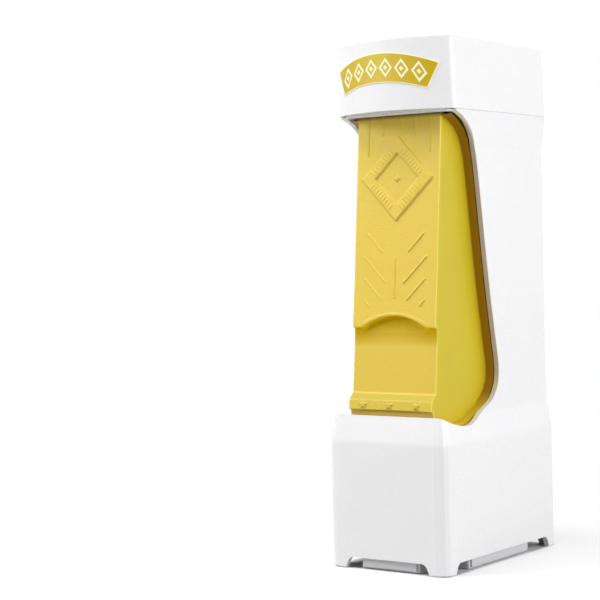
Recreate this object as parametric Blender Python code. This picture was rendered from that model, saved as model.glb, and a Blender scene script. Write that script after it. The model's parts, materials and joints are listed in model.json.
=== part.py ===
# Wire butter slicer: a tall housing with a press lever, a butter chamber with a ratchet follower
# and a sliding wire carriage under it. X is across, Y is front (minus) to back, Z is up.
import bpy
import math
import bmesh
from mathutils import Vector

for old in list(bpy.data.objects):
    bpy.data.objects.remove(old, do_unlink=True)

mm = 0.001

# Gaps between pieces
GAP = 0.3 * mm
RUNNING_GAP = 0.5 * mm
OVERRUN = 2.0 * mm

# Overall sizes of the housing
HEIGHT = 245.0 * mm
BASE_HALF_WIDTH = 32.5 * mm
BASE_HALF_DEPTH = 52.0 * mm
BASE_HEIGHT = 59.3 * mm
BASE_CORNER = 6.0 * mm
SHOULDER_RISE = 12.3 * mm
SHOULDER_IN = 2.3 * mm
SHOULDER_BACK_IN = 2.2 * mm
SHOULDER_SOFT = 1.4 * mm
TOWER_CORNER = 4.0 * mm
FLARE_HEIGHT = 17.0 * mm
FLARE_OUT = 1.6 * mm
SHELL_WALL = 2.5 * mm
EDGE_ROUND = 0.8 * mm

# Cap with a bowed front
CAP_HEIGHT = 33.8 * mm
CAP_OUT = 1.76 * mm
CAP_TAPER = 1.06 * mm
CAP_BACK_OUT = 0.6 * mm
CAP_BACK_TAPER = 1.1 * mm
BOW_SETBACK = 4.6 * mm
BOW_RADIUS = 50.0 * mm
CAP_WALL = 2.2 * mm
CAP_ROOF = 2.5 * mm
CAP_CORNER = 3.4 * mm
CAP_TOP_ROUND = 1.4 * mm
NECK_WALL = 2.2 * mm
NECK_HEIGHT = 15.1 * mm
HEADER_PLATE = 2.3 * mm
SEAM_PLATE = 0.9 * mm

# Lever and its pivot
LEVER_FRONT_SHARE = 0.63462
LEVER_SIDE_ROOM = 7.4 * mm
PIVOT_DEPTH = 8.0 * mm
PIVOT_RISE = 10.1 * mm
PIN_RADIUS = 2.0 * mm
LEVER_LEAN = math.radians(5.1)
LEVER_WALL = 2.4 * mm
CHEEK_WALL = 2.2 * mm
RIM_THICKNESS = 1.6 * mm
RIM_SETBACK = 1.2 * mm
HUB_RADIUS = 5.0 * mm

# Butter chamber for one stick, between the lever's cheeks and in front of the holding rack
CHAMBER_SIDE_GAP = 2.5 * mm
CHAMBER_WALL = 1.5 * mm
CHAMBER_BACK_ROOM = 4.7 * mm
CHAMBER_TOP_DROP = 2.9 * mm
DECK_RISE = 0.7 * mm
DECK_THICKNESS = 2.5 * mm

# Ratchet
TOOTH_PITCH = 5.0 * mm
TOOTH_DEPTH = 1.5 * mm
RACK_HALF_WIDTH = 3.5 * mm
RACK_BODY = 2.5 * mm
RACK_STANDOFF = 5.0 * mm

# Values that follow
TOWER_HALF_WIDTH = BASE_HALF_WIDTH - SHOULDER_IN
TOWER_HALF_DEPTH = BASE_HALF_DEPTH - SHOULDER_BACK_IN
TOWER_INNER_BACK = TOWER_HALF_DEPTH - SHELL_WALL
SHOULDER_TOP = BASE_HEIGHT + SHOULDER_RISE
CAP_BOTTOM = HEIGHT - CAP_HEIGHT
SEAM_HEIGHT = CAP_BOTTOM - GAP
CAP_BOTTOM_HALF_WIDTH = TOWER_HALF_WIDTH + CAP_OUT
CAP_TOP_HALF_WIDTH = CAP_BOTTOM_HALF_WIDTH - CAP_TAPER
CAP_BOTTOM_BACK = TOWER_HALF_DEPTH + CAP_BACK_OUT
CAP_TOP_BACK = CAP_BOTTOM_BACK - CAP_BACK_TAPER
BOW_APEX = BASE_HALF_DEPTH - BOW_SETBACK
NECK_TOP = SEAM_HEIGHT + NECK_HEIGHT
NECK_INSET = CAP_WALL + GAP
NECK_HALF_WIDTH = CAP_TOP_HALF_WIDTH - NECK_INSET
LEVER_HALF_WIDTH = TOWER_HALF_WIDTH - LEVER_SIDE_ROOM
LEVER_TOP_FRONT_Y = -LEVER_FRONT_SHARE * BASE_HALF_DEPTH
PIVOT_Y = LEVER_TOP_FRONT_Y + PIVOT_DEPTH
PIVOT_Z = SEAM_HEIGHT + PIVOT_RISE
PIN_HOLE = PIN_RADIUS + GAP
CHEEK_INNER = LEVER_HALF_WIDTH - CHEEK_WALL
RIM_HALF_WIDTH = TOWER_HALF_WIDTH - SHELL_WALL - RUNNING_GAP
CHAMBER_HALF_OUTER = CHEEK_INNER - CHAMBER_SIDE_GAP
CHAMBER_HALF_INNER = CHAMBER_HALF_OUTER - CHAMBER_WALL
CHAMBER_BACK = TOWER_INNER_BACK - CHAMBER_BACK_ROOM
CHAMBER_Y = CHAMBER_BACK - CHAMBER_HALF_OUTER
CHAMBER_FRONT = CHAMBER_Y - CHAMBER_HALF_OUTER
CHAMBER_TOP = SEAM_HEIGHT - CHAMBER_TOP_DROP
DECK_BOTTOM = BASE_HEIGHT + DECK_RISE
DECK_TOP = DECK_BOTTOM + DECK_THICKNESS
CHAMBER_BOTTOM = DECK_TOP + GAP
RACK_FRONT = CHAMBER_FRONT - RACK_STANDOFF

ROUND_STEPS = 24
HOLE_STEPS = 16
SCREW_STEPS = 12
WIRE_STEPS = 8
ARC_STEPS = 4
BOW_STEPS = 14


def material(name, colour, roughness, metallic=0.0):
    mat = bpy.data.materials.get(name)
    if mat is None:
        mat = bpy.data.materials.new(name)
        mat.use_nodes = True
        shader = mat.node_tree.nodes["Principled BSDF"]
        linear = [c / 12.92 if c <= 0.04045 else ((c + 0.055) / 1.055) ** 2.4 for c in colour]
        shader.inputs["Base Color"].default_value = (*linear, 1.0)
        shader.inputs["Roughness"].default_value = roughness
        shader.inputs["Metallic"].default_value = metallic
        mat.diffuse_color = (*linear, 1.0)
    return mat


WHITE = material("white_abs", (0.93, 0.93, 0.93), 0.25)
YELLOW = material("butter_yellow_abs", (0.88, 0.79, 0.37), 0.45)
LABEL = material("gold_label", (0.85, 0.72, 0.20), 0.4)
CLEAR = material("natural_plastic", (0.90, 0.91, 0.88), 0.3)
GREY = material("grey_plastic", (0.80, 0.80, 0.81), 0.4)
STEEL = material("steel", (0.72, 0.72, 0.73), 0.3, 1.0)
SPRING = material("spring_steel", (0.55, 0.55, 0.57), 0.35, 1.0)


def solid(name, verts, faces, mat=None):
    mesh = bpy.data.meshes.new(name)
    mesh.from_pydata([tuple(v) for v in verts], [], faces)
    bm = bmesh.new()
    bm.from_mesh(mesh)
    bmesh.ops.recalc_face_normals(bm, faces=bm.faces)
    bm.to_mesh(mesh)
    bm.free()
    obj = bpy.data.objects.new(name, mesh)
    bpy.context.scene.collection.objects.link(obj)
    if mat is not None:
        mesh.materials.append(mat)
        mesh.shade_smooth()
        mesh.set_sharp_from_angle(angle=math.radians(30.0))
    return obj


def skin(rings):
    # Closed body through rings of equal point counts, with flat ends
    count = len(rings[0])
    verts = [p for ring in rings for p in ring]
    faces = []
    for level in range(len(rings) - 1):
        for i in range(count):
            j = (i + 1) % count
            a = level * count
            faces.append((a + i, a + j, a + count + j, a + count + i))
    last = (len(rings) - 1) * count
    faces.append(tuple(reversed(range(count))))
    faces.append(tuple(last + i for i in range(count)))
    return verts, faces


def loft(name, sections, mat=None):
    rings = [[(x, y, z) for x, y in outline] for outline, z in sections]
    return solid(name, *skin(rings), mat)


def prism_x(name, outline, x0, x1, mat=None):
    return solid(name, *skin([[(x, y, z) for y, z in outline] for x in (x0, x1)]), mat)


def prism_y(name, outline, y0, y1, mat=None):
    return solid(name, *skin([[(x, y, z) for x, z in outline] for y in (y0, y1)]), mat)


def prism_z(name, outline, z0, z1, mat=None):
    return solid(name, *skin([[(x, y, z) for x, y in outline] for z in (z0, z1)]), mat)


def box(name, low, high, mat=None):
    outline = [(low[0], low[1]), (high[0], low[1]), (high[0], high[1]), (low[0], high[1])]
    return prism_z(name, outline, low[2], high[2], mat)


def circle(u, v, radius, steps=ROUND_STEPS):
    turns = [math.tau * i / steps for i in range(steps)]
    return [(u + radius * math.cos(t), v + radius * math.sin(t)) for t in turns]


def turned(name, stack, x, y, mat=None, steps=ROUND_STEPS):
    # Stack of (radius, z) rings about a vertical axis
    sections = [(circle(x, y, radius, steps), z) for radius, z in stack]
    return loft(name, sections, mat)


def filleted(corners, steps=ARC_STEPS):
    # Outline with each corner (u, v, radius) rounded; a radius of 0 keeps the point
    points = []
    count = len(corners)
    for i, (u, v, radius) in enumerate(corners):
        here = Vector((u, v))
        if radius <= 0.0:
            points.append((u, v))
            continue
        before = (Vector(corners[i - 1][:2]) - here).normalized()
        after = (Vector(corners[(i + 1) % count][:2]) - here).normalized()
        half = before.angle(after) / 2.0
        centre = here + (before + after).normalized() * (radius / math.sin(half))
        start = here + before * (radius / math.tan(half)) - centre
        sweep = math.pi - 2.0 * half
        side = 1.0 if before.x * after.y - before.y * after.x < 0.0 else -1.0
        for k in range(steps + 1):
            turn = side * sweep * k / steps
            cos, sin = math.cos(turn), math.sin(turn)
            across = centre.x + start.x * cos - start.y * sin
            points.append((across, centre.y + start.x * sin + start.y * cos))
    return points


def rounded(half_width, front, back, radius):
    corners = [(-half_width, front), (half_width, front), (half_width, back), (-half_width, back)]
    return filleted([(x, y, radius) for x, y in corners])


def smooth_curve(points, steps):
    # Catmull-Rom curve through the points, ends kept
    padded = [points[0]] + list(points) + [points[-1]]
    curve = []
    for i in range(1, len(padded) - 2):
        p0, p1, p2, p3 = (Vector(p) for p in padded[i - 1:i + 3])
        for k in range(steps):
            t = k / steps
            curve.append(tuple(0.5 * (2.0 * p1 + (p2 - p0) * t + (2.0 * p0 - 5.0 * p1 + 4.0 * p2 - p3) * t * t
                                      + (3.0 * p1 - p0 - 3.0 * p2 + p3) * t * t * t)))
    curve.append(tuple(points[-1]))
    return curve


def combine(target, other, operation):
    # The other body stays in the scene as a hidden guide
    other.hide_render = True
    other.display_type = "WIRE"
    mod = target.modifiers.new(other.name, "BOOLEAN")
    mod.operation = operation
    mod.solver = "EXACT"
    mod.object = other


def cut(target, *others):
    for other in others:
        combine(target, other, "DIFFERENCE")


def add(target, *others):
    for other in others:
        combine(target, other, "UNION")


def number(name, bodies, mat):
    # Repeated pieces become nodes of their own: name_1, name_2 and so on
    for i, body in enumerate(bodies):
        body.name = f"{name}_{i + 1}"
        body.data.materials.append(mat)
        body.data.shade_smooth()
        body.data.set_sharp_from_angle(angle=math.radians(30.0))


def lean_front(z):
    # Front face of the lever, leaning forward towards the bottom
    return LEVER_TOP_FRONT_Y - (SEAM_HEIGHT - z) * math.tan(LEVER_LEAN)


# Bar, recess and lip of the lever's front
BAR_RISE = 2.4 * mm
BAR_HEIGHT = 4.6 * mm
BAR_BEVEL = 3.0 * mm
BAR_PROUD = 1.09 * mm
BAR_FOOT_PROUD = 1.18 * mm
RECESS_HEIGHT = 30.8 * mm
RECESS_SLOPE = 1.2 * mm
RECESS_STEP = 2.0 * mm
RECESS_FOOT = 1.64 * mm
LIP_DROP = 0.6 * mm
LIP_SETBACK = 1.4 * mm
LIP_DEPTH = 1.8 * mm
BAR_BOTTOM = SHOULDER_TOP + BAR_RISE
BAR_TOP = BAR_BOTTOM + BAR_HEIGHT
RECESS_BOTTOM = BAR_TOP + BAR_BEVEL
RECESS_TOP = RECESS_BOTTOM + RECESS_HEIGHT
RECESS_SLOPE_TOP = RECESS_TOP - RECESS_SLOPE
LIP_BOTTOM = SHOULDER_TOP - LIP_DROP
BAR_BOTTOM_Y = lean_front(BAR_BOTTOM) - BAR_FOOT_PROUD
BAR_TOP_Y = lean_front(BAR_TOP) - BAR_PROUD
RECESS_BOTTOM_Y = lean_front(RECESS_BOTTOM) + RECESS_FOOT
LIP_Y = BAR_BOTTOM_Y + LIP_SETBACK
LIP_BACK_Y = LIP_Y + LIP_DEPTH
HEEL_SHY = 1.6 * mm
HEEL_END_Y = LIP_BACK_Y + HEEL_SHY

# Side edge of the housing's opening: shares of the half depth and of the opening's height
SIDE_EDGE_SHARES = (
    (-0.667, 0.995), (-0.517, 0.973), (-0.379, 0.929), (-0.306, 0.870), (-0.263, 0.793), (-0.221, 0.691),
    (-0.181, 0.589), (-0.135, 0.480), (-0.080, 0.358), (-0.012, 0.228), (0.027, 0.149), (0.008, 0.087),
    (-0.092, 0.037),
)
# Below its last point the edge runs forward to the lever's foot: shares of that way and of the height
SIDE_SILL_SHARES = ((0.273, 0.002), (0.477, -0.027), (0.636, -0.037), (0.809, -0.034), (1.047, -0.019))
HEEL_SHARES = ((0.209, -0.008), (0.449, -0.032), (0.661, -0.041), (0.859, -0.038), (1.0, -0.024))
OPENING_HEIGHT = SEAM_HEIGHT - SHOULDER_TOP
EDGE_STEPS = 3


def side_point(share, setback=0.0):
    return (share[0] * BASE_HALF_DEPTH + setback, SHOULDER_TOP + share[1] * OPENING_HEIGHT)


def foot_point(share):
    start = SIDE_EDGE_SHARES[-1][0] * BASE_HALF_DEPTH
    return (start + share[0] * (HEEL_END_Y - start), SHOULDER_TOP + share[1] * OPENING_HEIGHT)


# Housing: base, shoulder, tower and flare in one shell
def tower_outline(inset, half_width, half_depth, radius):
    corner = max(radius - inset, EDGE_ROUND)
    return rounded(half_width - inset, -half_depth + inset, half_depth - inset, corner)


ROUND_SHARES = ((1.0, 0.0), (0.5, 0.134), (0.134, 0.5), (0.0, 1.0))
FLARE_SHARES = ((0.0, 0.0), (0.27, 0.31), (0.63, 0.63), (1.0, 1.0))
FLARE_START = SEAM_HEIGHT - FLARE_HEIGHT


# Soft bends at the shoulder's two edges: height and way in, as shares of the bend's half length
SOFT_BEND_SHARES = ((-1.0, 0.0), (-0.5, 0.0625), (0.0, 0.25), (0.5, 0.5625), (1.0, 1.0))
soft_share = SHOULDER_SOFT / SHOULDER_RISE


def shoulder_outline(inset, share):
    half_width = BASE_HALF_WIDTH - SHOULDER_IN * share
    half_depth = BASE_HALF_DEPTH - SHOULDER_BACK_IN * share
    return tower_outline(inset, half_width, half_depth, BASE_CORNER + (TOWER_CORNER - BASE_CORNER) * share)


def shell_levels(inset):
    levels = [
        (tower_outline(inset, BASE_HALF_WIDTH - EDGE_ROUND, BASE_HALF_DEPTH - EDGE_ROUND, BASE_CORNER), 0.0),
        (tower_outline(inset, BASE_HALF_WIDTH, BASE_HALF_DEPTH, BASE_CORNER), EDGE_ROUND),
    ]
    for place, share in SOFT_BEND_SHARES:
        outline = shoulder_outline(inset, share * soft_share)
        levels.append((outline, BASE_HEIGHT + place * SHOULDER_SOFT))
    for place, share in reversed(SOFT_BEND_SHARES):
        outline = shoulder_outline(inset, 1.0 - share * soft_share)
        levels.append((outline, SHOULDER_TOP - place * SHOULDER_SOFT))
    for rise, out in FLARE_SHARES:
        grown = (TOWER_HALF_WIDTH + out * FLARE_OUT, TOWER_HALF_DEPTH + out * FLARE_OUT)
        levels.append((tower_outline(inset, *grown, TOWER_CORNER), FLARE_START + rise * FLARE_HEIGHT))
    return levels


housing = loft("housing", shell_levels(0.0), WHITE)
hollow = shell_levels(SHELL_WALL)
hollow[0] = (tower_outline(SHELL_WALL, BASE_HALF_WIDTH, BASE_HALF_DEPTH, BASE_CORNER), -OVERRUN)
hollow.pop(1)
hollow[-1] = (hollow[-1][0], SEAM_HEIGHT + OVERRUN)
cut(housing, loft("housing_hollow", hollow))

# Corner bosses that the deck plate is screwed to
BOSS_IN_X = 6.5 * mm
BOSS_IN_Y = 6.6 * mm
BOSS_RADIUS = 3.3 * mm
BOSS_HEIGHT = 4.0 * mm
BOSS_X = BASE_HALF_WIDTH - BOSS_IN_X
BOSS_Y = BASE_HALF_DEPTH - BOSS_IN_Y
BOSS_TOP = DECK_TOP + GAP + BOSS_HEIGHT
CORNERS = [(sx, sy) for sx in (-1, 1) for sy in (-1, 1)]
for sx, sy in CORNERS:
    stack = [(BOSS_RADIUS, DECK_TOP + GAP), (BOSS_RADIUS, BOSS_TOP)]
    add(housing, turned(f"boss_{sx}_{sy}", stack, sx * BOSS_X, sy * BOSS_Y, steps=HOLE_STEPS))

# Opening at the front and sides where the lever lies
side_edge = smooth_curve([side_point(s) for s in SIDE_EDGE_SHARES]
                         + [foot_point(s) for s in SIDE_SILL_SHARES]
                         + [(-BASE_HALF_DEPTH + SHELL_WALL, SHOULDER_TOP)], EDGE_STEPS)
front_far = -BASE_HALF_DEPTH - OVERRUN
opening = side_edge + [(front_far, SHOULDER_TOP + EDGE_ROUND), (front_far, SEAM_HEIGHT + OVERRUN),
                       (side_edge[0][0], SEAM_HEIGHT + OVERRUN)]
reach = BASE_HALF_WIDTH + OVERRUN
cut(housing, prism_x("side_opening", opening, -reach, reach))


# Header: plate under the cap and neck inside it
def bowed(half_width, inset, back, radius):
    # Outline with a bowed front: an arc of BOW_RADIUS with its apex at -BOW_APEX
    arc_radius = BOW_RADIUS - inset
    centre = BOW_RADIUS - BOW_APEX
    half = math.asin((half_width - inset) / arc_radius)
    front = []
    for k in range(1, BOW_STEPS):
        turn = -half + 2.0 * half * k / BOW_STEPS
        front.append((arc_radius * math.sin(turn), centre - arc_radius * math.cos(turn), 0.0))
    corner = centre - arc_radius * math.cos(half)
    fillet = max(radius - inset, EDGE_ROUND)
    left = (inset - half_width, corner, fillet)
    right = (half_width - inset, corner, fillet)
    rear = [(half_width - inset, back - inset, fillet), (inset - half_width, back - inset, fillet)]
    return filleted([left] + front + [right] + rear)


HEADER_CLEARANCE = 1.6 * mm
PLATE_LEDGE = 1.9 * mm
HEADER_FRONT = LEVER_TOP_FRONT_Y - HEADER_CLEARANCE
PLATE_FRONT = HEADER_FRONT - PLATE_LEDGE
DOOR_CLEARANCE = 1.2 * mm
plate_outline = rounded(TOWER_HALF_WIDTH, PLATE_FRONT, TOWER_HALF_DEPTH, TOWER_CORNER)
add(housing, prism_z("seam_plate", plate_outline, SEAM_HEIGHT - SEAM_PLATE, SEAM_HEIGHT))
neck_bottom = SEAM_HEIGHT - GAP
neck_outer = bowed(CAP_TOP_HALF_WIDTH, NECK_INSET, CAP_TOP_BACK, CAP_CORNER)
add(housing, prism_z("neck", neck_outer, neck_bottom, NECK_TOP))
neck_inner = bowed(CAP_TOP_HALF_WIDTH, NECK_INSET + NECK_WALL, CAP_TOP_BACK, CAP_CORNER)
neck_room_half = NECK_HALF_WIDTH - NECK_WALL
cut(housing, prism_z("neck_hollow", neck_inner, neck_bottom + HEADER_PLATE, NECK_TOP + OVERRUN))
door_half = LEVER_HALF_WIDTH + DOOR_CLEARANCE
lever_door = rounded(door_half, HEADER_FRONT, CHAMBER_BACK + DOOR_CLEARANCE, EDGE_ROUND)
cut(housing, prism_z("lever_door", lever_door, SEAM_HEIGHT - SEAM_PLATE - OVERRUN, NECK_TOP + OVERRUN))
pin_hole = circle(PIVOT_Y, PIVOT_Z, PIN_HOLE)
cut(housing, prism_x("housing_pin_hole", pin_hole, -reach, reach))

# Screw holes of the bosses and of the holding rack
SCREW_RADIUS = 1.0 * mm
SCREW_HOLE = SCREW_RADIUS + GAP
DECK_SCREW_DROP = 1.2 * mm
DECK_SCREW_TOP = BOSS_TOP - DECK_SCREW_DROP
for sx, sy in CORNERS:
    stack = [(SCREW_HOLE, DECK_TOP - OVERRUN), (SCREW_HOLE, DECK_SCREW_TOP + GAP)]
    cut(housing, turned(f"boss_hole_{sx}_{sy}", stack, sx * BOSS_X, sy * BOSS_Y, steps=SCREW_STEPS))

# Foot arches in all four walls
ARCH_HEIGHT = 5.5 * mm
ARCH_SLOPE = 2.4 * mm
ARCH_ROUND = 3.4 * mm
FOOT_ACROSS = 9.3 * mm
FOOT_FRONT = 7.6 * mm
FOOT_BACK = 9.2 * mm


def arch(start, end):
    spread = ARCH_SLOPE * OVERRUN / ARCH_HEIGHT
    return filleted([(start - spread, -OVERRUN, 0.0), (end + spread, -OVERRUN, 0.0),
                     (end - ARCH_SLOPE, ARCH_HEIGHT, ARCH_ROUND),
                     (start + ARCH_SLOPE, ARCH_HEIGHT, ARCH_ROUND)])


far = BASE_HALF_DEPTH + OVERRUN
across = BASE_HALF_WIDTH - FOOT_ACROSS
cut(housing, prism_y("front_arches", arch(-across, across), -far, far))
side_arch = arch(FOOT_FRONT - BASE_HALF_DEPTH, BASE_HALF_DEPTH - FOOT_BACK)
cut(housing, prism_x("side_arches", side_arch, -reach, reach))

# Cap: bowed front, thin wall, open underneath
cap_rise = HEIGHT - CAP_BOTTOM


def cap_outline(inset, z):
    share = (z - CAP_BOTTOM) / cap_rise
    half = CAP_BOTTOM_HALF_WIDTH + (CAP_TOP_HALF_WIDTH - CAP_BOTTOM_HALF_WIDTH) * share
    back = CAP_BOTTOM_BACK + (CAP_TOP_BACK - CAP_BOTTOM_BACK) * share
    return bowed(half, inset, back, CAP_CORNER)


cap_levels = [(cap_outline(0.0, CAP_BOTTOM), CAP_BOTTOM)]
for down, inward in ROUND_SHARES:
    z = HEIGHT - CAP_TOP_ROUND * down
    cap_levels.append((cap_outline(CAP_TOP_ROUND * inward, z), z))
cap = loft("cap", cap_levels, WHITE)
cap_ceiling = HEIGHT - CAP_ROOF
cut(cap, loft("cap_hollow", [(cap_outline(CAP_WALL, CAP_BOTTOM), CAP_BOTTOM - OVERRUN),
                             (cap_outline(CAP_WALL, cap_ceiling), cap_ceiling)]))

# Arched label in a shallow pocket of the cap's bowed front
LABEL_SHIFT = -1.6 * mm
LABEL_SIDE_ROOM = 3.66 * mm
LABEL_TAPER = 5.0 * mm
LABEL_LOW = 9.3 * mm
LABEL_HEIGHT = 11.2 * mm
LABEL_OUTER_HALF = CAP_BOTTOM_HALF_WIDTH - LABEL_SIDE_ROOM
LABEL_INNER_HALF = LABEL_OUTER_HALF - LABEL_TAPER
LABEL_INNER_END = CAP_BOTTOM + LABEL_LOW
LABEL_OUTER_END = LABEL_INNER_END + LABEL_HEIGHT
LABEL_OUTER_RISE = 6.1 * mm
LABEL_INNER_RISE = 3.9 * mm
LABEL_POCKET = 0.6 * mm
LABEL_PROUD = 0.3 * mm
LABEL_STEPS = 16


def bow_front(x):
    return BOW_RADIUS - BOW_APEX - math.sqrt(BOW_RADIUS * BOW_RADIUS - x * x)


def label_body(name, grow, front, back, mat=None):
    # A band between two arcs, laid on the bow: front and back are distances out of its face
    rings = []
    for k in range(LABEL_STEPS + 1):
        across = 2.0 * k / LABEL_STEPS - 1.0
        x_top = LABEL_SHIFT + across * (LABEL_OUTER_HALF + grow)
        x_low = LABEL_SHIFT + across * (LABEL_INNER_HALF + grow)
        z_top = LABEL_OUTER_END + LABEL_OUTER_RISE * (1.0 - across * across) + grow
        z_low = LABEL_INNER_END + LABEL_INNER_RISE * (1.0 - across * across) - grow
        rings.append([(x_low, bow_front(x_low) - front, z_low), (x_top, bow_front(x_top) - front, z_top),
                      (x_top, bow_front(x_top) - back, z_top), (x_low, bow_front(x_low) - back, z_low)])
    return solid(name, *skin(rings), mat)


cut(cap, label_body("label_pocket", GAP, OVERRUN, -LABEL_POCKET))
label_body("cap_label", 0.0, LABEL_PROUD, -(LABEL_POCKET - GAP), LABEL)

# Lever: leaning front plate, two cheeks, an outward rim along their back edge
lever_axis = bpy.data.objects.new("lever_axis", None)
lever_axis.location = (0.0, PIVOT_Y, PIVOT_Z)
bpy.context.scene.collection.objects.link(lever_axis)


def on_lever_axis(obj):
    # Parent to the pivot with the mesh left in world places
    obj.parent = lever_axis
    obj.location = (0.0, -PIVOT_Y, -PIVOT_Z)


def hub_arc(start, end, steps, radius=HUB_RADIUS):
    turns = [math.radians(start + (end - start) * k / steps) for k in range(steps + 1)]
    return [(PIVOT_Y + radius * math.cos(t), PIVOT_Z + radius * math.sin(t)) for t in turns]


hub_top = PIVOT_Z + HUB_RADIUS
rim_points = [side_point(s, RIM_SETBACK) for s in SIDE_EDGE_SHARES] + [foot_point(s) for s in HEEL_SHARES]
rim_curve = smooth_curve(rim_points, EDGE_STEPS)
front_face = [
    (LIP_Y, LIP_BOTTOM), (LIP_Y, BAR_BOTTOM), (BAR_BOTTOM_Y, BAR_BOTTOM), (BAR_TOP_Y, BAR_TOP),
    (RECESS_BOTTOM_Y, RECESS_BOTTOM), (lean_front(RECESS_SLOPE_TOP) + RECESS_STEP, RECESS_SLOPE_TOP),
    (lean_front(RECESS_TOP), RECESS_TOP), (lean_front(hub_top), hub_top),
]


def moved_in(curve, distance):
    # The curve moved square to itself towards the lever's front
    inner = []
    for i, (y, z) in enumerate(curve):
        ahead = curve[min(i + 1, len(curve) - 1)]
        behind = curve[max(i - 1, 0)]
        along = Vector((ahead[0] - behind[0], ahead[1] - behind[1])).normalized()
        inner.append((y + along.y * distance, z - along.x * distance))
    return inner


CHEEK_SHY = 0.15 * mm
HUB_ARC_START = 90.0
HUB_ARC_END = -40.0
HUB_STEPS = 6
LEVER_EDGE = 0.8 * mm
cheek_curve = moved_in(rim_curve, CHEEK_SHY)
cheek_end = Vector(cheek_curve[-1])
cheek_curve[-1] = tuple(cheek_end + (cheek_end - Vector(cheek_curve[-2])).normalized() * CHEEK_SHY)
lever_rear = hub_arc(HUB_ARC_START, HUB_ARC_END, HUB_STEPS) + cheek_curve[1:]
right_rings = []
for inward, setback in ROUND_SHARES:
    x = LEVER_HALF_WIDTH - LEVER_EDGE * inward
    front = [(LIP_BACK_Y, LIP_BOTTOM)] + [(y + LEVER_EDGE * setback, z) for y, z in front_face]
    right_rings.append([(x, y, z) for y, z in front + lever_rear])
left_rings = [[(-x, y, z) for x, y, z in ring] for ring in reversed(right_rings)]
lever = solid("lever", *skin(left_rings + right_rings), YELLOW)
on_lever_axis(lever)

PLATE_INNER_DROP = 5.4 * mm
PLATE_INNER_RISE = 10.8 * mm
FLOOR_DEPTH = 8.5 * mm
FLOOR_BACK = LIP_Y + FLOOR_DEPTH
FLOOR_TOP = LIP_BOTTOM + LEVER_WALL
far_back = BASE_HALF_DEPTH
lever_room = [
    (lean_front(hub_top) + LEVER_WALL, hub_top + OVERRUN),
    (lean_front(hub_top) + LEVER_WALL, hub_top),
    (lean_front(RECESS_TOP) + LEVER_WALL, RECESS_TOP + PLATE_INNER_RISE),
    (lean_front(RECESS_TOP) + PLATE_INNER_DROP, RECESS_TOP + PLATE_INNER_DROP),
    (lean_front(RECESS_SLOPE_TOP) + PLATE_INNER_DROP, RECESS_SLOPE_TOP - PLATE_INNER_DROP),
    (RECESS_BOTTOM_Y + LEVER_WALL, RECESS_BOTTOM),
    (RECESS_BOTTOM_Y + LEVER_WALL, FLOOR_TOP), (FLOOR_BACK, FLOOR_TOP), (FLOOR_BACK, DECK_BOTTOM),
    (far_back, DECK_BOTTOM), (far_back, hub_top + OVERRUN),
]
cut(lever, prism_x("lever_room", lever_room, -CHEEK_INNER, CHEEK_INNER))

# Thumb recess with an arched top that runs out downwards
THUMB_SIDE_ROOM = 5.3 * mm
THUMB_HALF = LEVER_HALF_WIDTH - THUMB_SIDE_ROOM
THUMB_RISE = 5.6 * mm
THUMB_DEPTH = 4.0 * mm
THUMB_FOOT_DEPTH = 1.2 * mm
THUMB_DROP = 4.0 * mm
THUMB_BOTTOM = RECESS_SLOPE_TOP - THUMB_DROP
THUMB_STEPS = 12
thumb_outline = []
for k in range(THUMB_STEPS + 1):
    across = 1.0 - 2.0 * k / THUMB_STEPS
    thumb_outline.append((across * THUMB_HALF, RECESS_TOP + THUMB_RISE * (1.0 - across * across)))
thumb_outline += [(-THUMB_HALF, THUMB_BOTTOM), (THUMB_HALF, THUMB_BOTTOM)]
thumb_top = RECESS_TOP + THUMB_RISE


def thumb_floor(z):
    # Depth grows from the foot, where the floor is still in front of the recess, to the arch
    share = (z - THUMB_BOTTOM) / (thumb_top - THUMB_BOTTOM)
    return lean_front(z) + THUMB_FOOT_DEPTH + (THUMB_DEPTH - THUMB_FOOT_DEPTH) * share


thumb_rings = [[(x, front_far, z) for x, z in thumb_outline],
               [(x, thumb_floor(z), z) for x, z in thumb_outline]]
cut(lever, solid("thumb_recess", *skin(thumb_rings)))

# Rim ribbons along the back edge, left and right
inner_rim = moved_in(rim_curve, RIM_THICKNESS)
rim_limit = SEAM_HEIGHT - SEAM_PLATE - RUNNING_GAP
outer_run = [p for p in rim_curve if p[1] < rim_limit]
inner_run = [p for p in inner_rim if p[1] < rim_limit]
above = rim_curve[len(rim_curve) - len(outer_run) - 1]
share = (above[1] - rim_limit) / (above[1] - outer_run[0][1])
outer_run.insert(0, (above[0] + (outer_run[0][0] - above[0]) * share, rim_limit))
ribbon = outer_run + inner_run[::-1]
rim_root = LEVER_HALF_WIDTH - CHEEK_WALL / 2.0
add(lever, prism_x("rim_right", ribbon, rim_root, RIM_HALF_WIDTH))
add(lever, prism_x("rim_left", ribbon, -RIM_HALF_WIDTH, -rim_root))

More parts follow.
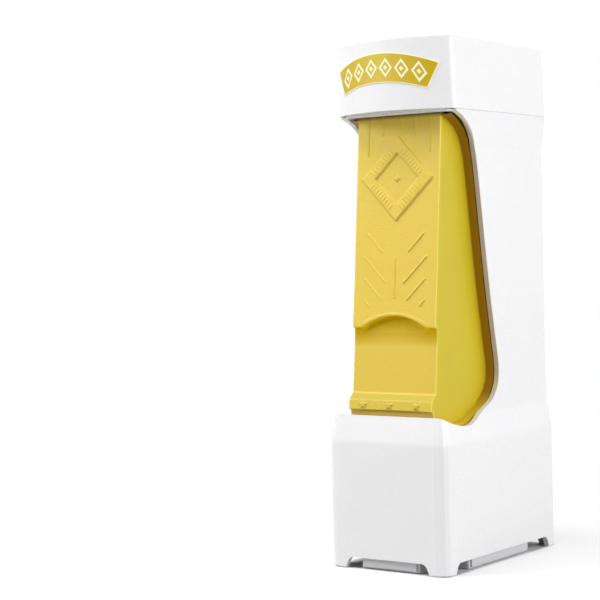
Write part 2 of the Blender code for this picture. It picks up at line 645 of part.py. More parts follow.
# Arms that lift the drive rack
EAR_STANDOFF = 4.0 * mm
EAR_RADIUS = 3.2 * mm
EAR_PIN_RADIUS = 1.2 * mm
ARM_INNER = RACK_HALF_WIDTH + RUNNING_GAP
ARM_OUTER = 7.2 * mm
ARM_ROOT_DROP = 10.0 * mm
ear_y = RACK_FRONT - EAR_STANDOFF
ear_turns = [math.pi * (k / HUB_STEPS - 0.5) for k in range(HUB_STEPS + 1)]
ear_end = [(ear_y + EAR_RADIUS * math.cos(t), PIVOT_Z + EAR_RADIUS * math.sin(t)) for t in ear_turns]
plate_mid = LEVER_WALL / 2.0
arm_side = [(lean_front(PIVOT_Z - ARM_ROOT_DROP) + plate_mid, PIVOT_Z - ARM_ROOT_DROP),
            (PIVOT_Y, PIVOT_Z - HUB_RADIUS)] + ear_end
arm_side += [(PIVOT_Y, hub_top - EDGE_ROUND), (lean_front(PIVOT_Z) + plate_mid, hub_top - EDGE_ROUND)]
add(lever, prism_x("arm_right", arm_side, ARM_INNER, ARM_OUTER))
add(lever, prism_x("arm_left", arm_side, -ARM_OUTER, -ARM_INNER))

# Tongues that push the wire carriage
TONGUE_SETBACK = 5.0 * mm
TONGUE_DROP = 7.5 * mm
TONGUE_Y = PIVOT_Y + TONGUE_SETBACK
TONGUE_Z = DECK_BOTTOM - TONGUE_DROP
TONGUE_TIP = 2.0 * mm
TONGUE_NECK = 1.5 * mm
TONGUE_ROOT = 4.2 * mm
TONGUE_NECK_RISE = 2.0 * mm
TONGUE_ROOT_Z = BAR_BOTTOM
TONGUE_NECK_TOP = DECK_BOTTOM + TONGUE_NECK_RISE
TIP_START = 140.0
TIP_SWEEP = 260.0
TIP_STEPS = 10
tip_turns = [math.radians(TIP_START + TIP_SWEEP * k / TIP_STEPS) for k in range(TIP_STEPS + 1)]
tongue = [(TONGUE_Y + TONGUE_TIP * math.cos(t), TONGUE_Z + TONGUE_TIP * math.sin(t)) for t in tip_turns]
tongue += [(TONGUE_Y + TONGUE_NECK, TONGUE_Z + TONGUE_TIP), (TONGUE_Y + TONGUE_NECK, TONGUE_NECK_TOP),
           (TONGUE_Y + TONGUE_ROOT, TONGUE_ROOT_Z), (TONGUE_Y - TONGUE_ROOT, TONGUE_ROOT_Z),
           (TONGUE_Y - TONGUE_NECK, TONGUE_NECK_TOP), (TONGUE_Y - TONGUE_NECK, TONGUE_Z + TONGUE_TIP)]
TONGUE_SKEW = 0.1 * mm
tongue_in = CHEEK_INNER + TONGUE_SKEW
tongue_out = LEVER_HALF_WIDTH - TONGUE_SKEW
add(lever, prism_x("tongue_right", tongue, tongue_in, tongue_out))
add(lever, prism_x("tongue_left", tongue, -tongue_out, -tongue_in))

# Spring seats: a stub on the plate's inner face and one on the chamber
SPRING_DROP = 20.9 * mm
SPRING_X = (RACK_HALF_WIDTH + CHEEK_INNER) / 2.0
SPRING_Z = SEAM_HEIGHT - SPRING_DROP
SPRING_WIRE = 0.9 * mm
SPRING_RADIUS = 4.2 * mm
STUB_RADIUS = 3.2 * mm
STUB_LENGTH = 3.0 * mm
plate_inside = lean_front(SPRING_Z) + LEVER_WALL
for side in (-1, 1):
    outline = circle(side * SPRING_X, SPRING_Z, STUB_RADIUS, SCREW_STEPS)
    add(lever, prism_y(f"lever_stub_{side}", outline, plate_inside - plate_mid, plate_inside + STUB_LENGTH))

# Raised lozenge frame on the front plate
LOZENGE_DROP = 30.2 * mm
LOZENGE_SIDE_ROOM = 3.6 * mm
LOZENGE_BAND = 7.0 * mm
LOZENGE_Z = SEAM_HEIGHT - LOZENGE_DROP
LOZENGE_HALF = LEVER_HALF_WIDTH - LOZENGE_SIDE_ROOM
LOZENGE_INNER = LOZENGE_HALF - LOZENGE_BAND
LOZENGE_RAISE = 0.5 * mm
LOZENGE_FLOOR = 0.02 * mm


def lozenge(name, half, proud):
    corners = [(half, 0.0), (0.0, half), (-half, 0.0), (0.0, -half)]
    rings = []
    for depth in (-proud, plate_mid):
        rings.append([(x, lean_front(LOZENGE_Z + z) + depth, LOZENGE_Z + z) for x, z in corners])
    return solid(name, *skin(rings))


frame_body = lozenge("lozenge_frame", LOZENGE_HALF, LOZENGE_RAISE)
add(lever, frame_body)
lozenge_floor = lozenge("lozenge_floor", LOZENGE_INNER, OVERRUN)
for vertex in lozenge_floor.data.vertices:
    on_back = vertex.co.y > lean_front(vertex.co.z)
    if on_back:
        vertex.co.y = lean_front(vertex.co.z) - LOZENGE_FLOOR
cut(lever, lozenge_floor)
cut(lever, prism_x("lever_pin_hole", pin_hole, -reach, reach))
ear_hole = circle(ear_y, PIVOT_Z, EAR_PIN_RADIUS + GAP, HOLE_STEPS)
cut(lever, prism_x("ear_pin_hole", ear_hole, -CHEEK_INNER + GAP, CHEEK_INNER - GAP))

# Pivot pin and its washers
PIN_HALF_LENGTH = NECK_HALF_WIDTH - GAP
prism_x("lever_pin", circle(PIVOT_Y, PIVOT_Z, PIN_RADIUS), -PIN_HALF_LENGTH, PIN_HALF_LENGTH, STEEL)
WASHER_RADIUS = 4.0 * mm


def ring_x(name, centre, outer, inner, x0, x1, steps=ROUND_STEPS):
    # A flat ring about an X axis
    profile = [(x0, inner), (x0, outer), (x1, outer), (x1, inner)]
    rings = []
    for k in range(steps):
        t = math.tau * k / steps
        rings.append([(x, centre[0] + r * math.cos(t), centre[1] + r * math.sin(t)) for x, r in profile])
    verts = [p for ring in rings for p in ring]
    faces = []
    for k in range(steps):
        n = (k + 1) % steps
        for i in range(4):
            j = (i + 1) % 4
            faces.append((k * 4 + i, k * 4 + j, n * 4 + j, n * 4 + i))
    return solid(name, verts, faces)


washers = []
for side in (-1, 1):
    ends = sorted((side * (LEVER_HALF_WIDTH + GAP), side * (neck_room_half - GAP)))
    washers.append(ring_x("washer", (PIVOT_Y, PIVOT_Z), WASHER_RADIUS, PIN_HOLE, *ends))
number("pin_washer", washers, GREY)

# Deck plate over the base hollow
DECK_INSET = 0.9 * mm
deck_half_width = BASE_HALF_WIDTH - SHELL_WALL - DECK_INSET
deck_half_depth = BASE_HALF_DEPTH - SHELL_WALL - DECK_INSET
deck_outline = rounded(deck_half_width, -deck_half_depth, deck_half_depth, TOWER_CORNER)
deck_plate = prism_z("deck_plate", deck_outline, DECK_BOTTOM, DECK_TOP, WHITE)
OUTLET_CLEARANCE = 0.4 * mm
outlet = CHAMBER_HALF_INNER + OUTLET_CLEARANCE
cut(deck_plate, box("deck_outlet", (-outlet, CHAMBER_Y - outlet, DECK_BOTTOM - OVERRUN),
                    (outlet, CHAMBER_Y + outlet, DECK_TOP + OVERRUN)))
SLOT_SIDE_GAP = 0.7 * mm
SLOT_AHEAD = 6.0 * mm
SLOT_TRAVEL = 42.0 * mm
SLOT_FRONT = TONGUE_Y - SLOT_AHEAD
SLOT_BACK = TONGUE_Y + SLOT_TRAVEL
for side in (-1, 1):
    x0, x1 = sorted((side * (CHEEK_INNER - SLOT_SIDE_GAP), side * (LEVER_HALF_WIDTH + SLOT_SIDE_GAP)))
    cut(deck_plate, box(f"tongue_slot_{side}", (x0, SLOT_FRONT, DECK_BOTTOM - OVERRUN),
                        (x1, SLOT_BACK, DECK_TOP + OVERRUN)))

# Butter chamber: square tube with slots, foot ears and rack guides
EAR_SIDE_IN = 3.1 * mm
EAR_HALF = CHAMBER_HALF_OUTER - EAR_SIDE_IN
EAR_THICKNESS = 2.5 * mm
FOOT_EAR_FRONT = 6.0 * mm
FOOT_EAR_BACK = 4.3 * mm
chamber_low = (-CHAMBER_HALF_OUTER, CHAMBER_FRONT, CHAMBER_BOTTOM)
chamber_high = (CHAMBER_HALF_OUTER, CHAMBER_BACK, CHAMBER_TOP)
chamber = box("butter_chamber", chamber_low, chamber_high, CLEAR)
add(chamber, box("foot_ears", (-EAR_HALF, CHAMBER_FRONT - FOOT_EAR_FRONT, CHAMBER_BOTTOM),
                 (EAR_HALF, CHAMBER_BACK + FOOT_EAR_BACK, CHAMBER_BOTTOM + EAR_THICKNESS)))
GUIDE_HALF = 6.5 * mm
GUIDE_FRONT = 5.9 * mm
LOW_GUIDE_HEIGHT = 8.5 * mm
HIGH_GUIDE_DROP = 1.0 * mm
HIGH_GUIDE_HEIGHT = 4.0 * mm
LOW_GUIDE_TOP = DECK_TOP + LOW_GUIDE_HEIGHT
HIGH_GUIDE_TOP = CHAMBER_TOP - HIGH_GUIDE_DROP
HIGH_GUIDE_LOW = HIGH_GUIDE_TOP - HIGH_GUIDE_HEIGHT
add(chamber, box("low_guide", (-GUIDE_HALF, CHAMBER_FRONT - GUIDE_FRONT, CHAMBER_BOTTOM + EDGE_ROUND),
                 (GUIDE_HALF, CHAMBER_FRONT + EDGE_ROUND, LOW_GUIDE_TOP)))
add(chamber, box("high_guide", (-GUIDE_HALF, CHAMBER_FRONT - GUIDE_FRONT, HIGH_GUIDE_LOW),
                 (GUIDE_HALF, CHAMBER_FRONT + EDGE_ROUND, HIGH_GUIDE_TOP)))
for side in (-1, 1):
    outline = circle(side * SPRING_X, SPRING_Z, STUB_RADIUS, SCREW_STEPS)
    add(chamber, prism_y(f"chamber_stub_{side}", outline, CHAMBER_FRONT - STUB_LENGTH,
                         CHAMBER_FRONT + EDGE_ROUND))
cut(chamber, box("stick_room",
                 (-CHAMBER_HALF_INNER, CHAMBER_Y - CHAMBER_HALF_INNER, CHAMBER_BOTTOM - OVERRUN),
                 (CHAMBER_HALF_INNER, CHAMBER_Y + CHAMBER_HALF_INNER, CHAMBER_TOP + OVERRUN)))
PAWL_SLOT_HALF = 2.6 * mm
PAWL_SLOT_LIFT = 1.0 * mm
PAWL_SLOT_DROP = 1.5 * mm
PAWL_SLOT_LOW = LOW_GUIDE_TOP + PAWL_SLOT_LIFT
PAWL_SLOT_HIGH = HIGH_GUIDE_LOW - PAWL_SLOT_DROP
cut(chamber, box("pawl_slots", (-PAWL_SLOT_HALF, CHAMBER_FRONT - EDGE_ROUND, PAWL_SLOT_LOW),
                 (PAWL_SLOT_HALF, CHAMBER_BACK + EDGE_ROUND, PAWL_SLOT_HIGH)))
guide_front = RACK_FRONT - GAP
guide_back = RACK_FRONT + RACK_BODY + TOOTH_DEPTH + RUNNING_GAP
RACK_LIFT = 4.0 * mm
RACK_LOW = DECK_TOP + RACK_LIFT
cut(chamber, box("low_guide_hole", (-RACK_HALF_WIDTH - GAP, guide_front, RACK_LOW - GAP),
                 (RACK_HALF_WIDTH + GAP, guide_back, LOW_GUIDE_TOP + OVERRUN)))
cut(chamber, box("high_guide_hole", (-RACK_HALF_WIDTH - GAP, guide_front, HIGH_GUIDE_LOW - OVERRUN),
                 (RACK_HALF_WIDTH + GAP, guide_back, HIGH_GUIDE_TOP + OVERRUN)))

# Screws: a head over a shank, pointing down or up
HEAD_RADIUS = 1.8 * mm
HEAD_HEIGHT = 1.5 * mm


def screw(x, y, head_z, tip_z):
    # The head lies on the far side of head_z from the tip
    up = 1.0 if head_z > tip_z else -1.0
    stack = [(SCREW_RADIUS, tip_z), (SCREW_RADIUS, head_z), (HEAD_RADIUS, head_z),
             (HEAD_RADIUS, head_z + up * HEAD_HEIGHT)]
    return turned("screw", stack, x, y, steps=SCREW_STEPS)


FOOT_SCREW_SHARE = 0.388
FOOT_SCREW_X = GUIDE_HALF + (CHAMBER_HALF_OUTER - GUIDE_HALF) * FOOT_SCREW_SHARE
foot_rows = (CHAMBER_FRONT - FOOT_EAR_FRONT / 2.0, CHAMBER_BACK + FOOT_EAR_BACK / 2.0)
foot_spots = [(sx * FOOT_SCREW_X, y) for sx in (-1, 1) for y in foot_rows]
ear_top = CHAMBER_BOTTOM + EAR_THICKNESS
number("chamber_screw", [screw(x, y, ear_top + GAP, DECK_BOTTOM + GAP) for x, y in foot_spots], STEEL)
for i, (x, y) in enumerate(foot_spots):
    stack = [(SCREW_HOLE, DECK_BOTTOM - OVERRUN), (SCREW_HOLE, ear_top + OVERRUN)]
    cut(deck_plate, turned(f"deck_foot_hole_{i}", stack, x, y, steps=SCREW_STEPS))
    cut(chamber, turned(f"ear_foot_hole_{i}", stack, x, y, steps=SCREW_STEPS))

deck_screws = []
for sx, sy in CORNERS:
    deck_screws.append(screw(sx * BOSS_X, sy * BOSS_Y, DECK_BOTTOM - GAP, DECK_SCREW_TOP))
    stack = [(SCREW_HOLE, DECK_BOTTOM - OVERRUN), (SCREW_HOLE, DECK_TOP + OVERRUN)]
    cut(deck_plate, turned(f"deck_corner_hole_{sx}_{sy}", stack, sx * BOSS_X, sy * BOSS_Y, steps=SCREW_STEPS))
number("deck_screw", deck_screws, STEEL)

# Carriage: two arms joined by a front bar, with a slot in each arm for the lever's tongue
ARM_IN_ROOM = 1.4 * mm
ARM_OUT_ROOM = 1.0 * mm
ARM_FRONT_ROOM = 5.5 * mm
ARM_END = 2.5 * mm
ARM_HEIGHT = 14.0 * mm
WIRE_AHEAD = 1.4 * mm
WIRE_Y = CHAMBER_FRONT - WIRE_AHEAD
ARM_IN = CHEEK_INNER - ARM_IN_ROOM
ARM_OUT = LEVER_HALF_WIDTH + ARM_OUT_ROOM
ARM_FRONT = ARM_FRONT_ROOM - BASE_HALF_DEPTH
ARM_BACK = WIRE_Y + ARM_END
ARM_LOW = DECK_BOTTOM - ARM_HEIGHT
ARM_HIGH = DECK_BOTTOM - RUNNING_GAP
BAR_DEPTH = 4.2 * mm
SLOT_CLEARANCE = 0.4 * mm
carriage = box("wire_carriage", (-ARM_OUT, ARM_FRONT, ARM_LOW), (ARM_OUT, ARM_BACK, ARM_HIGH), WHITE)
cut(carriage, box("carriage_bay", (-ARM_IN, ARM_FRONT + BAR_DEPTH, ARM_LOW - OVERRUN),
                  (ARM_IN, ARM_BACK + OVERRUN, ARM_HIGH + OVERRUN)))
slot_half = TONGUE_TIP + SLOT_CLEARANCE
slot_floor = TONGUE_Z - TONGUE_TIP - RUNNING_GAP
cut(carriage, box("yoke_slots", (-ARM_OUT - OVERRUN, TONGUE_Y - slot_half, slot_floor),
                  (ARM_OUT + OVERRUN, TONGUE_Y + slot_half, ARM_HIGH + OVERRUN)))

# Cutting wire with a screw at each end
WIRE_RADIUS = 0.3 * mm
WIRE_DROP = 2.0 * mm
WIRE_END_IN = 1.2 * mm
WIRE_Z = DECK_BOTTOM - WIRE_DROP
WIRE_HALF = ARM_OUT - WIRE_END_IN
wire_hole = circle(WIRE_Y, WIRE_Z, WIRE_RADIUS + GAP, WIRE_STEPS)
cut(carriage, prism_x("wire_holes", wire_hole, -ARM_OUT - OVERRUN, ARM_OUT + OVERRUN))
prism_x("cutting_wire", circle(WIRE_Y, WIRE_Z, WIRE_RADIUS, WIRE_STEPS), -WIRE_HALF, WIRE_HALF, STEEL)
ANCHOR_DROP = 4.0 * mm
ANCHOR_TIP_IN = 0.8 * mm
ANCHOR_TIP = ARM_IN + ANCHOR_TIP_IN
ANCHOR_HEAD = 0.9 * mm
anchor_z = WIRE_Z - ANCHOR_DROP
anchors = []
SINK = 1.2 * mm
for side in (-1, 1):
    seat = ARM_OUT - SINK
    spans = ((SCREW_RADIUS, ANCHOR_TIP), (SCREW_RADIUS, seat + GAP), (HEAD_RADIUS, seat + GAP),
             (HEAD_RADIUS, seat + ANCHOR_HEAD))
    rings = [[(side * x, y, z) for y, z in circle(WIRE_Y, anchor_z, r, SCREW_STEPS)] for r, x in spans]
    anchors.append(solid("anchor", *skin(rings)))
    near, outer = sorted((side * seat, side * (ARM_OUT + OVERRUN)))
    head_room = circle(WIRE_Y, anchor_z, HEAD_RADIUS + GAP, SCREW_STEPS)
    cut(carriage, prism_x(f"anchor_sink_{side}", head_room, near, outer))
anchor_hole = circle(WIRE_Y, anchor_z, SCREW_HOLE, SCREW_STEPS)
cut(carriage, prism_x("anchor_holes", anchor_hole, -ARM_OUT - OVERRUN, ARM_OUT + OVERRUN))
number("wire_anchor_screw", anchors, STEEL)

# Rails that carry the carriage's arms under the deck
RAIL_WIDTH = 3.9 * mm
RAIL_END_ROOM = 7.6 * mm
RAIL_LIP = 2.3 * mm
RAIL_LIP_SHY = 0.8 * mm
RAIL_SCREW_IN = 11.0 * mm
RAIL_OUT = ARM_OUT + RAIL_WIDTH
RAIL_HALF_LENGTH = deck_half_depth - RAIL_END_ROOM
RAIL_LIP_IN = ARM_IN + RAIL_LIP_SHY
RAIL_SCREW_Y = RAIL_HALF_LENGTH - RAIL_SCREW_IN
rail_in = ARM_OUT + GAP
rail_top = DECK_BOTTOM - GAP
lip_top = ARM_LOW - GAP
rail_section = [(RAIL_LIP_IN, lip_top - RAIL_LIP), (RAIL_OUT, lip_top - RAIL_LIP), (RAIL_OUT, rail_top),
                (rail_in, rail_top), (rail_in, lip_top), (RAIL_LIP_IN, lip_top)]
rail_screw_x = (rail_in + RAIL_OUT) / 2.0
rail_screws = []
for side, label in ((-1, "left"), (1, "right")):
    outline = [(side * x, z) for x, z in rail_section]
    rail = prism_y(f"carriage_rail_{label}", outline, -RAIL_HALF_LENGTH, RAIL_HALF_LENGTH, GREY)
    for sy in (-1, 1):
        x, y = side * rail_screw_x, sy * RAIL_SCREW_Y
        hole = [(SCREW_HOLE, lip_top - RAIL_LIP - OVERRUN), (SCREW_HOLE, DECK_TOP + OVERRUN)]
        cut(rail, turned(f"rail_hole_{label}_{sy}", hole, x, y, steps=SCREW_STEPS))
        cut(deck_plate, turned(f"deck_rail_hole_{label}_{sy}", hole, x, y, steps=SCREW_STEPS))
        rail_screws.append(screw(x, y, lip_top - RAIL_LIP - GAP, DECK_TOP - GAP))
number("rail_screw", rail_screws, STEEL)

# Follower that presses the butter down, with its knob
FOLLOWER_CLEARANCE = 0.3 * mm
FOLLOWER_HEIGHT = 12.0 * mm
FOLLOWER_HEADROOM = 11.6 * mm
follower_half = CHAMBER_HALF_INNER - FOLLOWER_CLEARANCE
follower_top = CHAMBER_TOP - FOLLOWER_HEADROOM
follower_low = follower_top - FOLLOWER_HEIGHT
follower = box("follower", (-follower_half, CHAMBER_Y - follower_half, follower_low),
               (follower_half, CHAMBER_Y + follower_half, follower_top), GREY)
STEM_RADIUS = 2.0 * mm
STEM_LENGTH = 6.0 * mm
KNOB_BASE = 4.5 * mm
KNOB_NECK = 3.2 * mm
KNOB_RADIUS = 7.5 * mm
KNOB_BASE_HEIGHT = 2.0 * mm
KNOB_NECK_HEIGHT = 7.0 * mm
KNOB_GRIP_HEIGHT = 6.0 * mm
KNOB_EDGE = 1.0 * mm
knob_seat = follower_top + GAP
neck_top = knob_seat + KNOB_BASE_HEIGHT + KNOB_NECK_HEIGHT
grip_top = neck_top + KNOB_GRIP_HEIGHT
turned("follower_knob", [
    (STEM_RADIUS, knob_seat - STEM_LENGTH), (STEM_RADIUS, knob_seat), (KNOB_BASE, knob_seat),
    (KNOB_BASE, knob_seat + KNOB_BASE_HEIGHT), (KNOB_NECK, knob_seat + KNOB_BASE_HEIGHT),
    (KNOB_NECK, neck_top), (KNOB_RADIUS - KNOB_EDGE, neck_top), (KNOB_RADIUS, neck_top + KNOB_EDGE),
    (KNOB_RADIUS, grip_top - KNOB_EDGE), (KNOB_RADIUS - KNOB_EDGE, grip_top)], 0.0, CHAMBER_Y, YELLOW)
stem_hole = [(STEM_RADIUS + GAP, knob_seat - STEM_LENGTH - GAP), (STEM_RADIUS + GAP, follower_top + OVERRUN)]
cut(follower, turned("stem_hole", stem_hole, 0.0, CHAMBER_Y, steps=HOLE_STEPS))

# Leaf pawls on the follower, their tips under a tooth's flat face
PAWL_THICKNESS = 0.5 * mm
PAWL_HALF_WIDTH = 2.0 * mm
PAWL_SEAT = 4.3 * mm
TIP_GAP = 0.4 * mm
RIVET_RADIUS = 0.9 * mm
RIVET_HEAD = 1.7 * mm
RIVET_HEAD_HEIGHT = 0.8 * mm
RIVET_LENGTH = 6.0 * mm
RIVET_INSET = 2.3 * mm
pawl_low = follower_top + GAP
pawl_high = pawl_low + PAWL_THICKNESS
drive_valley = RACK_FRONT + RACK_BODY
HOLDING_BACK = TOWER_INNER_BACK - GAP
HOLDING_BODY = 2.1 * mm
holding_valley = HOLDING_BACK - HOLDING_BODY
follower_front = CHAMBER_Y - follower_half
follower_back = CHAMBER_Y + follower_half
box("drive_pawl", (-PAWL_HALF_WIDTH, drive_valley + TIP_GAP, pawl_low),
    (PAWL_HALF_WIDTH, follower_front + PAWL_SEAT, pawl_high), SPRING)
box("holding_pawl", (-PAWL_HALF_WIDTH, follower_back - PAWL_SEAT, pawl_low),
    (PAWL_HALF_WIDTH, holding_valley - TIP_GAP, pawl_high), SPRING)
rivets = []
for i, y in enumerate((follower_front + RIVET_INSET, follower_back - RIVET_INSET)):
    stack = [(RIVET_RADIUS, pawl_high + GAP - RIVET_LENGTH), (RIVET_RADIUS, pawl_high + GAP),
             (RIVET_HEAD, pawl_high + GAP), (RIVET_HEAD, pawl_high + GAP + RIVET_HEAD_HEIGHT)]
    rivets.append(turned("rivet", stack, 0.0, y, steps=SCREW_STEPS))
    hole = [(RIVET_RADIUS + GAP, pawl_high - RIVET_LENGTH), (RIVET_RADIUS + GAP, pawl_high + OVERRUN)]
    for body, tag in ((follower, "follower"), (bpy.data.objects[("drive_pawl", "holding_pawl")[i]], "pawl")):
        cut(body, turned(f"rivet_hole_{tag}_{i}", hole, 0.0, y, steps=SCREW_STEPS))
number("pawl_rivet", rivets, STEEL)

# Racks: flat tooth faces look down, TOOTH_PITCH apart, just above the pawls
TOOTH_SHARE = 0.84
TOOTH_LIFT = 12.0 * mm
RACK_HEAD_DROP = 5.5 * mm
RACK_HEAD_RISE = 4.5 * mm
RACK_HEAD_LOW = PIVOT_Z - RACK_HEAD_DROP
RACK_HEAD_TOP = PIVOT_Z + RACK_HEAD_RISE
tooth_count = int((pawl_high + GAP - DECK_TOP - TOOTH_LIFT) / TOOTH_PITCH) + 1
RACK_HEAD_REACH = 3.6 * mm
EAR_SLOT_HALF = 2.2 * mm


def teeth(valley, direction):
    # From the bottom tooth to the top one: flat face out, slope back to the valley
    points = []
    for k in range(tooth_count):
        face = pawl_high + GAP - (tooth_count - 1 - k) * TOOTH_PITCH
        points += [(valley, face), (valley + direction * TOOTH_DEPTH, face),
                   (valley, face + TOOTH_PITCH * TOOTH_SHARE)]
    return points


head_front = ear_y - RACK_HEAD_REACH
rack_side = [(RACK_FRONT, RACK_LOW), (drive_valley, RACK_LOW)] + teeth(drive_valley, 1.0)
rack_side += [(drive_valley, RACK_HEAD_TOP), (head_front, RACK_HEAD_TOP), (head_front, RACK_HEAD_LOW),
              (RACK_FRONT, RACK_HEAD_LOW)]
drive_rack = prism_x("drive_rack", rack_side, -RACK_HALF_WIDTH, RACK_HALF_WIDTH, WHITE)
ear_slot_high = EAR_PIN_RADIUS + GAP
ear_slot_low = (-RACK_HALF_WIDTH - OVERRUN, ear_y - EAR_SLOT_HALF, PIVOT_Z - ear_slot_high)
ear_slot_top = (RACK_HALF_WIDTH + OVERRUN, ear_y + EAR_SLOT_HALF, PIVOT_Z + ear_slot_high)
cut(drive_rack, box("ear_slot", ear_slot_low, ear_slot_top))
prism_x("drive_rack_pin", circle(ear_y, PIVOT_Z, EAR_PIN_RADIUS, HOLE_STEPS), -ARM_OUTER, ARM_OUTER, STEEL)

HOLDING_LIFT = 7.0 * mm
HOLDING_DROP = 3.9 * mm
HOLDING_SCREW_UP = 4.3 * mm
HOLDING_SCREW_DOWN = 2.6 * mm
HOLDING_LOW = DECK_TOP + HOLDING_LIFT
HOLDING_HIGH = SEAM_HEIGHT - HOLDING_DROP
HOLDING_SCREW_LOW = HOLDING_LOW + HOLDING_SCREW_UP
HOLDING_SCREW_HIGH = HOLDING_HIGH - HOLDING_SCREW_DOWN
WALL_SCREW_RADIUS = 0.8 * mm
WALL_HEAD_RADIUS = 1.6 * mm
WALL_HEAD = 0.9 * mm
WALL_SCREW_DEPTH = 1.2 * mm
holding_side = [(HOLDING_BACK, HOLDING_LOW), (holding_valley, HOLDING_LOW)] + teeth(holding_valley, -1.0)
holding_side += [(holding_valley, HOLDING_HIGH), (HOLDING_BACK, HOLDING_HIGH)]
holding_rack = prism_x("holding_rack", holding_side, -RACK_HALF_WIDTH, RACK_HALF_WIDTH, WHITE)
wall_screws = []
for i, z in enumerate((HOLDING_SCREW_LOW, HOLDING_SCREW_HIGH)):
    head = holding_valley - GAP
    tip = TOWER_INNER_BACK + WALL_SCREW_DEPTH
    spans = ((WALL_HEAD_RADIUS, head - WALL_HEAD), (WALL_HEAD_RADIUS, head), (WALL_SCREW_RADIUS, head),
             (WALL_SCREW_RADIUS, tip))
    rings = [[(x, y, w) for x, w in circle(0.0, z, r, SCREW_STEPS)] for r, y in spans]
    wall_screws.append(solid("wall_screw", *skin(rings)))
    hole = circle(0.0, z, WALL_SCREW_RADIUS + GAP, SCREW_STEPS)
    cut(holding_rack, prism_y(f"holding_hole_{i}", hole, head - OVERRUN, HOLDING_BACK + OVERRUN))
    cut(housing, prism_y(f"wall_hole_{i}", hole, TOWER_INNER_BACK - OVERRUN, tip + GAP))
number("holding_rack_screw", wall_screws, STEEL)

# Return springs between the lever's plate and the chamber
SPRING_TURNS = 9
SPRING_POINTS = 12


def spring(name, side):
    start = plate_inside + GAP + SPRING_WIRE / 2.0
    end = CHAMBER_FRONT - GAP - SPRING_WIRE / 2.0
    curve = bpy.data.curves.new(name, "CURVE")
    curve.dimensions = "3D"
    curve.bevel_depth = SPRING_WIRE / 2.0
    curve.bevel_resolution = 1
    curve.use_fill_caps = True
    spline = curve.splines.new("POLY")
    count = SPRING_TURNS * SPRING_POINTS
    spline.points.add(count)
    for k in range(count + 1):
        t = math.tau * k / SPRING_POINTS
        y = start + (end - start) * k / count
        x = side * SPRING_X + SPRING_RADIUS * math.cos(t)
        spline.points[k].co = (x, y, SPRING_Z + SPRING_RADIUS * math.sin(t), 1.0)
    obj = bpy.data.objects.new(name, curve)
    bpy.context.scene.collection.objects.link(obj)
    curve.materials.append(SPRING)


spring("return_spring_left", -1)
spring("return_spring_right", 1)

# Bottom cover: a cross-shaped tray that leaves the foot corners free
COVER_GAP = 0.4 * mm
COVER_LIFT = 0.4 * mm
COVER_FLOOR = 2.0 * mm
COVER_WALL = 1.6 * mm
COVER_HEIGHT = 12.0 * mm
COVER_SIDE_NOTCH = 16.5 * mm
COVER_FRONT_NOTCH = 23.4 * mm
COVER_BACK_NOTCH = 26.0 * mm
COVER_FRONT_HALF = BASE_HALF_WIDTH - COVER_SIDE_NOTCH
COVER_SIDE_FRONT = COVER_FRONT_NOTCH - BASE_HALF_DEPTH
COVER_SIDE_BACK = BASE_HALF_DEPTH - COVER_BACK_NOTCH
TAB_SETBACK = 2.0 * mm
COVER_ROUND = 1.0 * mm
cover_x = BASE_HALF_WIDTH - SHELL_WALL - COVER_GAP
cover_y = BASE_HALF_DEPTH - SHELL_WALL - COVER_GAP


def cross(inset):
    x1, y1 = cover_x - inset, cover_y - inset
    x2 = COVER_FRONT_HALF - inset
    near, rear = COVER_SIDE_FRONT + inset, COVER_SIDE_BACK - inset
    corners = [(x2, -y1), (x2, near), (x1, near), (x1, rear), (x2, rear), (x2, y1),
               (-x2, y1), (-x2, rear), (-x1, rear), (-x1, near), (-x2, near), (-x2, -y1)]
    return filleted([(x, y, COVER_ROUND) for x, y in corners], 2)


cover = prism_z("bottom_cover", cross(0.0), COVER_LIFT, COVER_HEIGHT, GREY)
tab_top = ARCH_HEIGHT - GAP
tab_x, tab_y = BASE_HALF_WIDTH - TAB_SETBACK, BASE_HALF_DEPTH - TAB_SETBACK
tab_room = COVER_ROUND + GAP
add(cover, box("tabs_across", (-COVER_FRONT_HALF + tab_room, -tab_y, COVER_LIFT + EDGE_ROUND),
               (COVER_FRONT_HALF - tab_room, tab_y, tab_top)))
add(cover, box("tabs_along", (-tab_x, COVER_SIDE_FRONT + tab_room, COVER_LIFT + EDGE_ROUND),
               (tab_x, COVER_SIDE_BACK - tab_room, tab_top)))
cut(cover, prism_z("cover_room", cross(COVER_WALL), COVER_LIFT + COVER_FLOOR, COVER_HEIGHT + OVERRUN))
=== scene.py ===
import json
import math

import bmesh
import bpy
import numpy as np
from mathutils import Matrix, Vector


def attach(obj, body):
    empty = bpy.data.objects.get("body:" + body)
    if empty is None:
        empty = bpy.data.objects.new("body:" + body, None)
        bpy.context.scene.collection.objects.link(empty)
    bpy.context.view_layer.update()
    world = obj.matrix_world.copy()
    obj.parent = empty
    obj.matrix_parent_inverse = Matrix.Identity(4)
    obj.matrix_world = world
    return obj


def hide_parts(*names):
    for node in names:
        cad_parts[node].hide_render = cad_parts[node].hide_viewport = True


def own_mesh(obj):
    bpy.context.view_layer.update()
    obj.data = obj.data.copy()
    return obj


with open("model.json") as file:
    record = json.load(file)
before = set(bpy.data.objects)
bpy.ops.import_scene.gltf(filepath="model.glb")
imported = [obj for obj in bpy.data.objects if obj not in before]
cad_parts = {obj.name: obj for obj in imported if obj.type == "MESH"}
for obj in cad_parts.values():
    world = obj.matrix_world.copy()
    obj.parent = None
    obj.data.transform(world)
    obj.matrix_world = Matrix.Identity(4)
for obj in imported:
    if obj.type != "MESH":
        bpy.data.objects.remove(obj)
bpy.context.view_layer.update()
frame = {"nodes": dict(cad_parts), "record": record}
nodes = frame["nodes"]
mm = 0.001


print("frame loaded:", len(nodes), "nodes")

# Helpers


